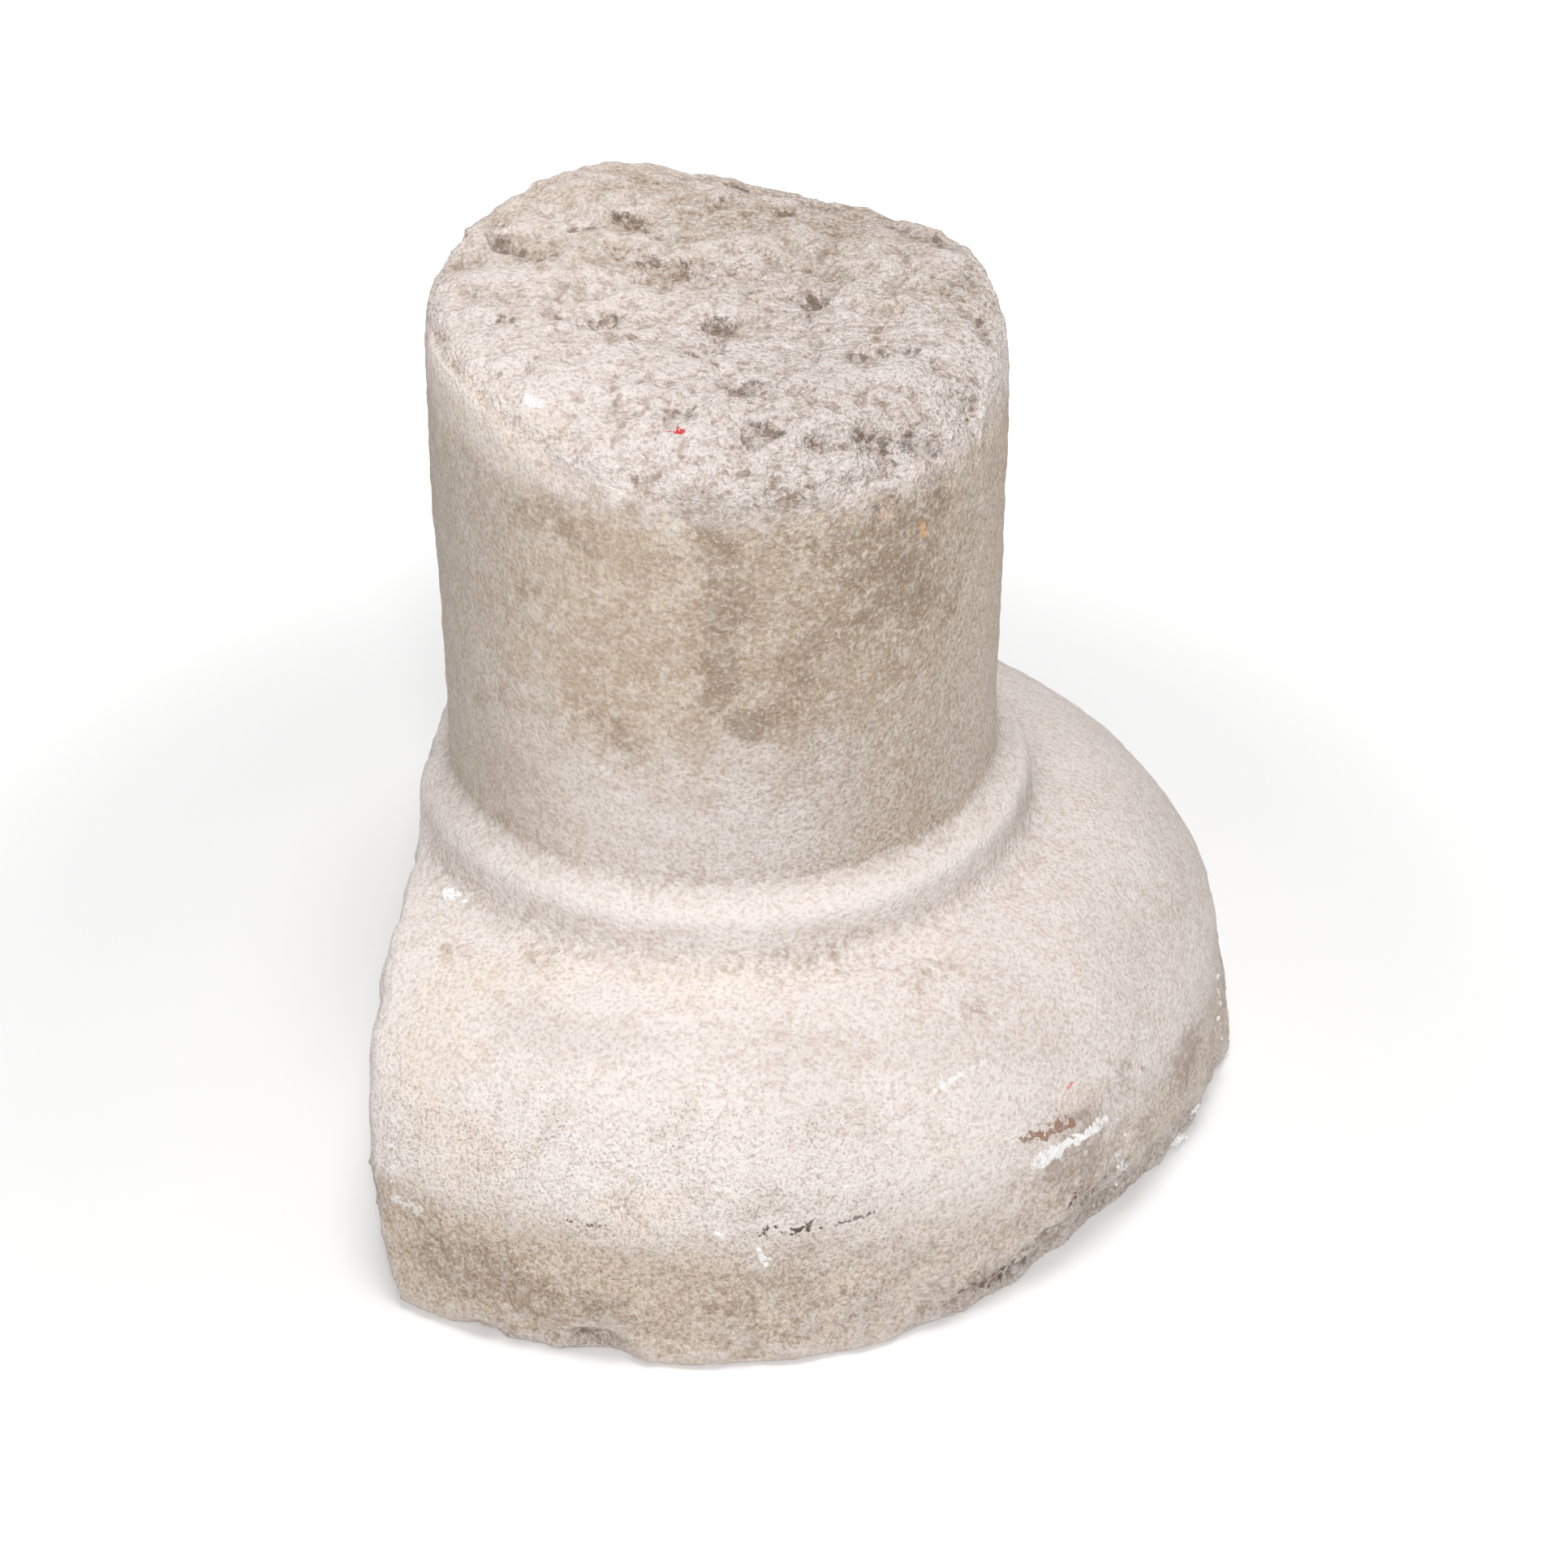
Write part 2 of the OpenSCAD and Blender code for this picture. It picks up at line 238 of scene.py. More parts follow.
# Clouds of colour on the skin, by the layer that they go to: place, half-widths, strength.
CLOUDS = {
    "stain": [
        ((-18, -117, 320), (30, 22, 9), 0.55),
        ((0, -119, 304), (14, 14, 18), 0.80),
        ((6, -119, 268), (13, 14, 30), 0.70),
        ((2, -119, 243), (9, 14, 14), 0.75),
        ((12, -119, 223), (9, 14, 9), 1.45),
        ((-6, -119, 234), (14, 14, 10), 0.45),
        ((24, -117, 318), (16, 14, 9), 0.75),
        ((42, -110, 302), (26, 22, 16), 0.60),
        ((68, -98, 286), (24, 26, 18), 0.55),
        ((80, -88, 306), (18, 22, 14), 0.75),
        ((62, -102, 264), (30, 26, 22), 0.42),
        ((88, -80, 262), (24, 30, 40), 0.42),
        ((34, -115, 236), (20, 20, 24), 0.40),
        ((66, -99, 307), (8, 10, 10), 0.80),
        ((-34, -114, 210), (10, 12, 12), 0.40),
        ((-60, -102, 312), (9, 12, 6), 0.45),
        ((-46, -110, 222), (12, 12, 10), 0.35),
        ((-90, -222, 28), (34, 24, 22), 0.50),
        ((-52, -233, 26), (26, 20, 12), 0.85),
        ((-112, -208, 36), (14, 18, 24), 0.45),
        ((150, -176, 42), (26, 26, 16), 0.55),
        ((180, -142, 30), (26, 26, 26), 0.40),
        ((196, -110, 52), (18, 24, 14), 0.35),
        ((100, -212, 16), (34, 24, 16), 0.50),
        ((20, -236, 26), (40, 20, 16), 0.30),
        ((30, -136, 122), (26, 12, 8), 0.45),
        ((-74, -93, 312), (14, 14, 16), 0.42),
        ((-96, -69, 318), (10, 16, 12), 0.45),
        ((-54, -105, 300), (18, 14, 14), 0.42),
        ((-75, -92, 262), (14, 14, 22), 0.36),
        ((-92, -74, 212), (12, 18, 22), 0.34),
        ((77, -136, 117), (24, 12, 8), 0.45),
        ((202, -105, 44), (14, 26, 18), 0.50),
        ((165, -149, 67), (20, 20, 12), 0.40),
        ((-90, -221, 34), (22, 14, 16), 0.35),
        ((-108, -126, 117), (16, 16, 8), 0.35),
        ((-70, -132, 119), (22, 12, 8), 0.35),
        ((104, -148, 108), (10, 8, 8), 0.45),
        ((150, -166, 67), (18, 18, 10), 0.60),
        ((140, -180, 54), (30, 26, 12), 0.55),
        ((60, 104, 260), (40, 30, 60), 0.50),
        ((-50, 108, 200), (36, 30, 40), 0.45),
        ((20, 232, 30), (60, 30, 22), 0.50),
        ((160, 160, 40), (50, 50, 24), 0.50),
    ],
    "grey": [
        ((-79, -160, 113), (20, 18, 12), 0.85),
        ((-58, -174, 109), (16, 14, 10), 0.70),
        ((-44, -166, 114), (26, 16, 10), 0.45),
        ((18, -172, 112), (40, 20, 12), 0.75),
        ((40, -190, 100), (30, 22, 16), 0.50),
        ((100, -163, 100), (26, 26, 16), 0.85),
        ((122, -150, 100), (24, 26, 18), 0.60),
        ((176, -95, 93), (34, 40, 24), 0.75),
        ((150, -60, 110), (34, 40, 24), 0.50),
        ((210, -40, 84), (24, 60, 30), 0.60),
        ((66, -216, 66), (34, 20, 10), 0.60),
        ((20, -224, 70), (26, 16, 8), 0.50),
        ((170, -140, 80), (28, 26, 18), 0.40),
        ((-128, -150, 100), (12, 24, 20), 0.30),
        # Painted shade: a dark grey patch over the crease on the collar's left.
        ((-118, -66, 136), (26, 34, 16), 1.10),
        ((-60, -124, 132), (30, 20, 8), 0.45),
        ((118, -133, 109), (26, 22, 14), 0.60),
        ((73, -170, 106), (22, 16, 12), 0.60),
        ((-33, -177, 111), (20, 14, 10), 0.50),
        ((137, -151, 90), (20, 18, 14), 0.55),
        ((60, -128, 128), (50, 24, 10), 0.40),
        ((128, -40, 130), (20, 40, 12), 0.60),
        ((60, -200, 88), (40, 24, 16), 0.45),
        ((-30, -200, 92), (40, 20, 12), 0.35),
        ((100, -84, 180), (30, 40, 40), 0.65),
        ((-113, -30, 240), (16, 60, 110), 0.60),
        ((100, 120, 110), (70, 60, 30), 0.50),
        ((-60, 180, 100), (60, 60, 30), 0.40),
    ],
    "cream": [
        ((-104, -50, 336), (16, 36, 20), 0.80),
        ((-84, -82, 328), (28, 22, 18), 0.80),
        ((-116, -168, 98), (26, 30, 24), 0.80),
        ((-98, -200, 78), (30, 22, 18), 0.90),
        ((-107, -136, 115), (22, 22, 14), 0.60),
        ((-30, -224, 70), (24, 14, 9), 0.85),
        ((-78, -138, 118), (30, 18, 10), 0.60),
        ((5, -144, 120), (60, 14, 10), 0.60),
        ((84, -120, 118), (30, 26, 12), 0.40),
        ((-106, -56, 340), (18, 40, 26), 1.00),
        ((-86, -86, 336), (30, 22, 16), 0.85),
        ((-60, -30, 340), (30, 26, 30), 0.45),
        ((-74, 60, 350), (40, 30, 30), 0.60),
        ((66, 10, 345), (30, 30, 30), 0.55),
        ((12, -118, 292), (9, 12, 9), 0.60),
        ((30, -116, 284), (9, 12, 7), 0.45),
        ((-66, -98, 316), (16, 16, 14), 0.55),
        ((-74, -94, 250), (22, 22, 34), 0.55),
        ((-52, -106, 286), (16, 16, 26), 0.45),
        ((83, -84, 323), (5, 8, 7), 0.90),
        ((70, -96, 316), (5, 8, 7), 0.60),
        ((150, -160, 74), (22, 22, 10), 0.50),
        ((10, -234, 30), (60, 20, 16), 0.30),
    ],
}

# Marks and streaks: from, to, half width, how ragged the edge is, how broken up it is, colour, strength.
SMEARS = [
    ((121, -185, 70), (130, -180, 69), 2.4, 2.6, 1.3, "rust", 0.8),
    ((131, -180, 68.5), (144, -170.5, 67), 4.4, 3.6, 1.5, "rust", 0.85),
    ((122, -184, 70), (152, -164, 66), 5.5, 5.0, 1.5, "stain", 0.4),
    ((146, -168, 74), (160, -156, 74), 6.0, 5.0, 1.2, "band", 0.6),
    ((81, -83.5, 324.5), (79, -84.5, 327.5), 2.4, 1.6, 0.4, "ochre", 0.95),
    ((81, -88, 290), (80, -88, 295), 2.2, 1.6, 0.5, "ochre", 0.9),
    ((66, -99, 303), (64, -99, 311), 4.0, 3.0, 0.5, "band", 0.9),
    ((178, -134, 76), (180, -132, 76), 1.8, 1.5, 0.8, "rust", 0.6),
    ((176, -136, 66), (178, -134, 66), 1.2, 1.2, 0.8, "rust", 0.6),
    ((-66, -233, 16), (-56, -233, 18), 4.0, 4.0, 1.2, "rust", 0.35),
    ((-47, -234, 10), (-44, -234, 12), 2.6, 3.0, 1.0, "rust", 0.5),
    ((129, -187, 59.5), (138, -180, 60), 3.6, 1.4, 0.3, "paint", 1.0),
    ((138, -180, 60), (147, -173, 60), 3.0, 1.4, 0.4, "paint", 1.0),
    ((147, -173, 59), (159, -161, 60), 2.4, 1.3, 0.4, "paint", 1.0),
    ((112, -197, 63), (131, -186, 60), 1.5, 1.5, 1.3, "paint", 0.75),
    ((84, -202.3, 75.7), (98.6, -195.3, 75.4), 0.9, 0.3, 1.1, "cream", 0.8),
    ((98.6, -195.3, 75.4), (115.6, -186.2, 74.2), 0.9, 0.3, 1.1, "cream", 0.8),
    ((50, -216, 73.5), (64, -211.8, 73.7), 0.9, 0.3, 1.1, "paint", 0.5),
    ((86.8, -182.2, 93.9), (93.4, -177.2, 95.1), 2.4, 0.8, 1.2, "paint", 0.55),
    ((93.4, -177.2, 95.1), (105.2, -168.7, 95.9), 1.1, 0.5, 1.2, "paint", 0.45),
    ((105.2, -168.7, 95.9), (113, -163.2, 96), 0.9, 0.4, 1.2, "paint", 0.4),
    ((-137, -190, 66), (-139, -193, 50), 1.6, 1.6, 1.2, "paint", 0.7),
    ((-129, -192, 70), (-130, -196, 62), 2.4, 2.2, 1.1, "paint", 0.8),
    ((-128, -199, 52), (-118, -205, 50), 3.2, 2.6, 1.4, "paint", 0.6),
    ((166, -160, 40), (171, -154, 22), 3.0, 2.6, 1.3, "paint", 0.8),
    ((17, -231.5, 54), (19, -231.5, 50), 1.9, 1.3, 0.3, "paint", 1.0),
    ((1, -230, 62), (2, -230, 61), 1.6, 1.4, 0.4, "paint", 0.9),
    ((-1, -221, 78), (2, -221, 78), 1.4, 1.2, 0.7, "paint", 0.8),
    ((-69, -80, 344), (-66, -82, 343), 2.6, 1.8, 0.3, "paint", 0.9),
    ((-42, -113, 196), (-50, -109, 200), 3.0, 3.0, 1.6, "paint", 0.5),
    ((222, -52, 48), (222, -50, 40), 1.8, 1.6, 0.8, "paint", 0.9),
    ((8, -231, 61), (36, -227, 60.5), 1.5, 1.5, 1.7, "dirt", 0.9),
    ((18, -229, 61.5), (40, -225.8, 61), 2.6, 2.0, 1.7, "dirt", 0.9),
    ((36, -227, 60.5), (70, -217, 63), 1.1, 1.2, 1.7, "dirt", 0.75),
    ((-62, -224, 63), (-38, -227, 63), 1.2, 1.4, 1.8, "dirt", 0.8),
    ((145.9, -179.1, 35.5), (143.5, -181.7, 33), 3.6, 3.0, 1.3, "dirt", 0.85),
    ((99.8, -214.1, 16.3), (119.4, -197.3, 9), 5.0, 3.0, 2.4, "dirt", 0.8),
    ((108.5, -206.7, 15.7), (124.2, -195.7, 14), 4.0, 3.0, 2.3, "dirt", 0.8),
    ((-16, -94, 337.5), (-11, -94.5, 337.5), 1.3, 1.3, 0.7, "red", 1.0),
    ((-13.5, -95, 337), (-12.5, -92, 338), 0.9, 0.9, 0.5, "red", 0.9),
    ((19, -97, 333), (22, -95, 334), 1.2, 1.0, 0.9, "red", 0.5),
    ((142, -162, 78), (144, -160, 79), 0.9, 0.8, 0.6, "red", 0.7),
    ((175, -138, 66), (177, -136, 67), 0.9, 0.8, 0.6, "red", 0.5),
]

# Crumbs of lime and paint: place, spread, number, radius of one. Lengths in millimetres.
CRUMBS = [
    ((-113, -90, 121), (1.8, 1.2, 0.5), 7, 2.2),
    ((-106, -94, 121), (1.0, 0.8, 0.4), 2, 1.5),
    ((134, -183, 60), (4.0, 3.0, 1.0), 5, 0.9),
    ((147, -172, 60), (5.0, 4.0, 1.0), 5, 0.9),
    ((158, -162, 61), (2.0, 2.0, 1.0), 5, 1.0),
    ((200, -112, 5), (3.0, 3.0, 3.0), 8, 2.0),
    ((206, -103, 12), (3.0, 3.0, 4.0), 5, 1.4),
    ((223, -52, 44), (1.0, 3.0, 5.0), 7, 1.2),
    ((223, -64, 28), (1.0, 2.0, 4.0), 5, 1.1),
    ((18, -231, 52), (1.0, 1.0, 2.0), 4, 1.1),
    ((168, -158, 34), (4.0, 4.0, 8.0), 7, 0.9),
    ((-130, -194, 64), (2.0, 2.0, 5.0), 6, 0.9),
]


def length_property(name, description, default, **limits):
    """A length that a user can change."""
    return FloatProperty(name=name, description=description, default=default, unit="LENGTH", **limits)


def colour_property(name, description, default):
    """A colour that a user can change, as linear red, green and blue."""
    return FloatVectorProperty(
        name=name, description=description, default=default, subtype="COLOR", size=3, min=0, max=1
    )


class ColumnForm(bpy.types.PropertyGroup):
    """Sizes of the stone's net, wear of its edges and scatter of its crumbs."""

    net_size: length_property(
        "Net size", "Spacing of the even net laid over the stone", 0.00245, min=0.0018, max=0.01
    )
    edge_passes: IntProperty(
        name="Edge wear passes",
        description="Smoothing passes that round the edges, each as far as its place is worn",
        default=100,
        min=0,
        max=300,
    )
    hollow_passes: IntProperty(
        name="Hollow passes",
        description="Smoothing passes that tell hollows from worn edges",
        default=8,
        min=1,
        max=40,
    )
    crumb_seed: IntProperty(name="Crumb seed", description="Scatter of the crumbs", default=5, min=0)


class ColumnRelief(bpy.types.PropertyGroup):
    """Heights and widths of the relief that time and tools left."""

    swell_height: length_property("Swell height", "Slow unevenness of the hand-cut faces", 0.0008)
    swell_size: length_property("Swell size", "Width of the slow unevenness", 0.055)
    pitting_height: length_property("Pitting height", "Fine unevenness of the carved faces", 0.0006)
    pitting_size: length_property("Pitting size", "Width of the fine unevenness", 0.009)
    break_height: length_property("Break height", "Unevenness of the broken faces", 0.0029)
    break_size: length_property("Break size", "Width of the unevenness of the broken faces", 0.036)
    grit_height: length_property("Grit height", "Crystalline roughness of the broken faces", 0.0014)
    grit_size: length_property("Grit size", "Width of the crystalline roughness", 0.0075)
    foot_height: length_property("Foot height", "Ruggedness of the foot band", 0.0011)
    foot_size: length_property("Foot size", "Width of the ruggedness of the foot band", 0.02)


class ColumnColours(bpy.types.PropertyGroup):
    """Colours of the marble and of what lies on it."""

    clean: colour_property("Clean marble", "Pale stone of the cushion and collar", (0.885, 0.812, 0.778))
    cool: colour_property("Cool marble", "Pinkish grey stone on the right", (0.74, 0.665, 0.635))
    cream: colour_property("Cream marble", "Warm patches", (0.86, 0.75, 0.655))
    grey: colour_property("Grey marble", "Grey-violet clouds", (0.62, 0.545, 0.505))
    shaft: colour_property("Shaft patina", "Tan skin on the shaft", (0.585, 0.455, 0.34))
    shaft_pale: colour_property("Pale patina", "Lighter skin between the stains", (0.755, 0.632, 0.508))
    shaft_grey: colour_property("Grey patina", "Greyer skin on the shaft's left", (0.60, 0.53, 0.465))
    band: colour_property("Foot patina", "Brown-tan skin on the foot's left", (0.66, 0.52, 0.40))
    band_grey: colour_property("Grey foot patina", "Greyer skin on the foot's right", (0.64, 0.54, 0.475))
    broken: colour_property("Broken stone", "Crystalline stone of the breaks", (0.84, 0.75, 0.715))
    broken_tan: colour_property("Old break", "Browner skin of the old breaks", (0.64, 0.53, 0.445))
    # The next two colours are also painted shade: the first in the dark cores of the hollows, the second
    # around the hollows, in creases and in the grain's pits.
    dirt: colour_property("Dirt", "Soil held in pits and hollows", (0.11, 0.075, 0.06))
    stain: colour_property("Grey-brown stain", "Run-off stains down the shaft", (0.28, 0.195, 0.13))
    rust: colour_property("Rust", "Iron stains on the cushion", (0.31, 0.155, 0.10))
    ochre: colour_property("Ochre", "Small orange-tan spots", (0.80, 0.50, 0.27))
    paint: colour_property("White paint", "Streaks and scuffs of white paint", (0.96, 0.955, 0.95))
    red: colour_property("Red paint", "Specks of red paint", (0.72, 0.07, 0.08))
    lime: colour_property("Lime", "Crumbs of old lime", (0.78, 0.74, 0.71))
    floor: colour_property("Floor", "Plain pale floor", (0.86, 0.86, 0.86))


class ColumnStage(bpy.types.PropertyGroup):
    """Light and camera of the stage."""

    sky: FloatProperty(
        name="Sky strength", description="Brightness of the even light all round", default=0.36, min=0
    )
    top_power: FloatProperty(
        name="Top lamp", description="Power of the wide lamp above", default=22.0, min=0, unit="POWER"
    )
    front_power: FloatProperty(
        name="Front lamp", description="Power of the lamp in front", default=21.0, min=0, unit="POWER"
    )
    lens: FloatProperty(
        name="Lens", description="Focal length of the camera, in millimetres", default=57.4, min=10
    )


NUMBER_SOCKETS = {float: "Float", int: "Int"}


class Wires:
    """Short calls that add nodes to one tree and wire them up."""

    def __init__(self, tree):
        self.tree = tree

    def add(self, kind, inputs=None, **settings):
        """A new node, with its settings and its inputs given as values or as sockets to link from."""
        node = self.tree.nodes.new(kind)
        for name, value in settings.items():
            setattr(node, name, value)
        for key, value in (inputs or {}).items():
            self.feed(node.inputs[key], value)
        return node

    def feed(self, socket, value):
        if isinstance(value, bpy.types.NodeSocket):
            self.tree.links.new(value, socket)
        else:
            socket.default_value = value

    def math(self, operation, *values, clamp=False):
        node = self.add("ShaderNodeMath", operation=operation, use_clamp=clamp)
        for socket, value in zip(node.inputs, values):
            self.feed(socket, value)
        return node.outputs[0]

    def plus(self, *values):
        total = values[0]
        for value in values[1:]:
            total = self.math("ADD", total, value)
        return total

    def times(self, *values):
        product = values[0]
        for value in values[1:]:
            product = self.math("MULTIPLY", product, value)
        return product

    def minus(self, first, second):
        return self.math("SUBTRACT", first, second)

    def larger(self, first, second):
        return self.math("MAXIMUM", first, second)

    def swing(self, fac, amount):
        """Noise about zero: its swing from the middle, times an amount."""
        return self.times(self.minus(fac, 0.5), amount)

    def vector(self, operation, *values):
        node = self.add("ShaderNodeVectorMath", operation=operation)
        for socket, value in zip(node.inputs, values):
            self.feed(socket, value)
        return node.outputs["Value"] if operation in ("LENGTH", "DOT_PRODUCT") else node.outputs[0]

    def scaled(self, vector, factor):
        node = self.add("ShaderNodeVectorMath", {0: vector, "Scale": factor}, operation="SCALE")
        return node.outputs[0]

    def step(self, value, low, high):
        """0 at low, 1 at high and smooth between them. low may be the larger one."""
        inputs = {"Value": value, "From Min": low, "From Max": high}
        return self.add("ShaderNodeMapRange", inputs, interpolation_type="SMOOTHSTEP").outputs[0]

    def noise(self, vector, size, detail=3.0, roughness=0.55, output="Fac"):
        """Noise with features of about this size, in the vector's own unit."""
        scale = 1.0 / size if isinstance(size, float) else self.math("DIVIDE", 1.0, size)
        inputs = {"Vector": vector, "Scale": scale, "Detail": detail, "Roughness": roughness}
        return self.add("ShaderNodeTexNoise", inputs).outputs[output]

    def mix(self, factor, first, second):
        """Colour mix. A colour is given as a socket or as red, green and blue."""
        first, second = (c if isinstance(c, bpy.types.NodeSocket) else (*c, 1.0) for c in (first, second))
        return self.add("ShaderNodeMix", {0: factor, 6: first, 7: second}, data_type="RGBA").outputs[2]

    def blend(self, factor, first, second):
        """Number mix."""
        return self.add("ShaderNodeMix", {0: factor, 2: first, 3: second}, data_type="FLOAT").outputs[0]

    def use(self, group, inputs=None):
        """One use of a shader group, and what it puts out."""
        return self.add("ShaderNodeGroup", inputs, node_tree=group).outputs

    def finish(self, end, geometry, material):
        """Ends a geometry tree: nothing left as an instance, shaded smooth and in its material."""
        real = self.add("GeometryNodeRealizeInstances", {0: geometry}).outputs[0]
        smooth = self.add("GeometryNodeSetShadeSmooth", {0: real}).outputs[0]
        dressed = self.add("GeometryNodeSetMaterial", {"Geometry": smooth, "Material": material})
        self.feed(end["Geometry"], dressed.outputs[0])
        return self.tree


def new_group(name, kind, inputs, outputs):
    """An empty node group and its two end nodes.

    Each socket is named and given as its default, if it is a number, or as its type, such as Vector.
    """
    tree = bpy.data.node_groups.new(name, kind)
    for in_out, sockets in (("INPUT", inputs), ("OUTPUT", outputs)):
        for label, given in sockets.items():
            socket_type = "NodeSocket" + NUMBER_SOCKETS.get(type(given), str(given))
            socket = tree.interface.new_socket(name=label, in_out=in_out, socket_type=socket_type)
            if type(given) in NUMBER_SOCKETS:
                socket.default_value = given
    wires = Wires(tree)
    start = wires.add("NodeGroupInput").outputs
    end = wires.add("NodeGroupOutput").inputs
    return wires, start, end


def values_by_label(settings):
    """What a property group is set to, under the labels of its properties."""
    properties = type(settings).__annotations__
    return {prop.keywords["name"]: getattr(settings, key) for key, prop in properties.items()}


def defaults_by_label(properties):
    """The defaults of a kind of property group, under the labels of its properties."""
    return {p.keywords["name"]: p.keywords["default"] for p in properties.__annotations__.values()}


def set_inputs(modifier, values):
    """Sets a Geometry Nodes modifier's inputs, given by name, through their identifiers."""
    for item in modifier.node_group.interface.items_tree:
        if item.item_type == "SOCKET" and item.in_out == "INPUT" and item.name in values:
            modifier[item.identifier] = values[item.name]


# ---------------------------------------------------------------------------------------------------
# The stone's mesh


def add_object(name, data):
    """A new object in the scene, at the origin."""
    holder = bpy.data.objects.new(name, data)
    bpy.context.scene.collection.objects.link(holder)
    return holder


def make_plain(piece):
    """Replaces a piece's mesh by what its modifiers make, and removes the modifiers."""
    depsgraph = bpy.context.evaluated_depsgraph_get()
    old = piece.data
    mesh = bpy.data.meshes.new_from_object(
        piece.evaluated_get(depsgraph), preserve_all_data_layers=True, depsgraph=depsgraph
    )
    piece.modifiers.clear()
    piece.data = mesh
    mesh.name = piece.name
    bpy.data.meshes.remove(old)
    return mesh


def even_net(name, node, net_size):
    """A closed, even net laid over a CAD node."""
    mesh = node.data.copy()
    net = bmesh.new()
    net.from_mesh(mesh)
    bmesh.ops.remove_doubles(net, verts=net.verts, dist=TINY)
    net.to_mesh(mesh)
    net.free()
    mesh.materials.clear()
    piece = add_object(name, mesh)
    remesh = piece.modifiers.new("Even net", "REMESH")
    remesh.mode = "VOXEL"
    remesh.voxel_size = net_size
    remesh.use_smooth_shade = True
    make_plain(piece)
    return piece


def smooth_step(value, low, high):
    t = np.clip((value - low) / (high - low), 0.0, 1.0)
    return t * t * (3.0 - 2.0 * t)


def points_and_normals(mesh):
    """A mesh's points in millimetres, and its normals."""
    count = len(mesh.vertices)
    points = np.empty(count * 3)
    normals = np.empty(count * 3)
    mesh.vertices.foreach_get("co", points)
    mesh.vertex_normals.foreach_get("vector", normals)
    return points.reshape(-1, 3) / MM, normals.reshape(-1, 3)


def set_points(mesh, points):
    mesh.vertices.foreach_set("co", (points * MM).ravel())
    mesh.update()


def store(mesh, name, values):
    """Keeps one number for each point of a mesh, which the nodes read by this name."""
    attribute = mesh.attributes.new(name, "FLOAT", "POINT")
    attribute.data.foreach_set("value", values)


def depth_below_break(points):
    """How far a point lies below the level of the broken top."""
    return BREAK_Z + BREAK_RISE[0] * points[:, 0] + BREAK_RISE[1] * points[:, 1] - points[:, 2]


def broken_share(points, normals):
    """How far each point lies on a break rather than on a carved face, from 0 to 1.

    Breaks are the stump's top with what is sunk in from its side, the split side and the chipped foot.
    """
    x, y, z = points.T
    radius = np.hypot(x, y)
    side = SHAFT_R - SHAFT_TAPER * (z - COLLAR_TOP)
    sunk = smooth_step(side - radius, 0.8, 5.0) * smooth_step(depth_below_break(points), 32, 16)
    top = smooth_step(z, *STUMP_TOP) * np.maximum(smooth_step(normals[:, 2], 0.2, 0.65), sunk)
    split = smooth_step(-normals[:, 0], 0.55, 0.8) * smooth_step(-x, -SPLIT_X - 6, -SPLIT_X)
    on_collar = smooth_step(SPLIT_R_ON_COLLAR - radius, 0, 2)
    on_collar *= smooth_step(z, COLLAR_TOP - 1, COLLAR_TOP - 6)
    split *= np.where(z > COLLAR_FOOT, on_collar, 1.0)
    base_radius = np.hypot(x - BASE_SHIFT[0], y - BASE_SHIFT[1])
    band_radius = FOOT_R - (FOOT_R - CUSHION_R) * z / BAND_TOP
    chip = smooth_step(band_radius - base_radius, 1.2, 3.5) * smooth_step(z, BAND_TOP + 4, BAND_TOP - 6)
    chip *= smooth_step(normals[:, 2], -0.8, -0.5)
    return np.clip(np.maximum(np.maximum(top, 0.6 * split), chip), 0.0, 1.0)


def rim_share(points):
    """How near a point of the shaft's side lies to the broken rim, from 0 to 1."""
    return smooth_step(depth_below_break(points), 36, 10) * smooth_step(points[:, 2], *STUMP_TOP)


def edge_wear(points):
    """How far each pass of edge wear moves a point: most at the front rim of the break."""
    x, y, z = points.T
    radius = np.hypot(x, y)
    rim = smooth_step(radius, 78, 104) * smooth_step(depth_below_break(points), 46, 24)
    rim *= smooth_step(z, *STUMP_TOP)
    rim *= WEAR_RIM[0] + WEAR_RIM[1] * smooth_step(y, 20, -60)
    base_radius = np.hypot(x - BASE_SHIFT[0], y - BASE_SHIFT[1])
    arris = smooth_step(base_radius, 205, 225) * smooth_step(z, 30, 50)
    arris *= smooth_step(z, 95, 75) * (WEAR_ARRIS[0] + WEAR_ARRIS[1] * smooth_step(x, 20, -90))
    split = smooth_step(x, -100, -112) * smooth_step(z, 152, 140) * WEAR_SPLIT
    return WEAR_ALL + rim + arris + split


def cloud(points, spots):
    """Soft spots of one layer, added up."""
    total = np.zeros(len(points))
    for centre, halves, strength in spots:
        reach = np.sqrt((((points - centre) / halves) ** 2).sum(1))
        total += strength * smooth_step(reach, *CLOUD_REACH)
    return total


def mark_net(mesh):
    """Stores on the net what the relief and the marble read from it."""
    points, normals = points_and_normals(mesh)
    store(mesh, "broken", broken_share(points, normals))
    store(mesh, "edge_wear", edge_wear(points))
    store(mesh, "rim", rim_share(points))
    for layer, spots in CLOUDS.items():
        store(mesh, layer, cloud(points, spots))


RELIEF_INPUTS = {
    "Geometry": "Geometry",
    "Material": "Material",
    "Edge wear passes": 100,
    "Hollow passes": 8,
    **defaults_by_label(ColumnRelief),
}


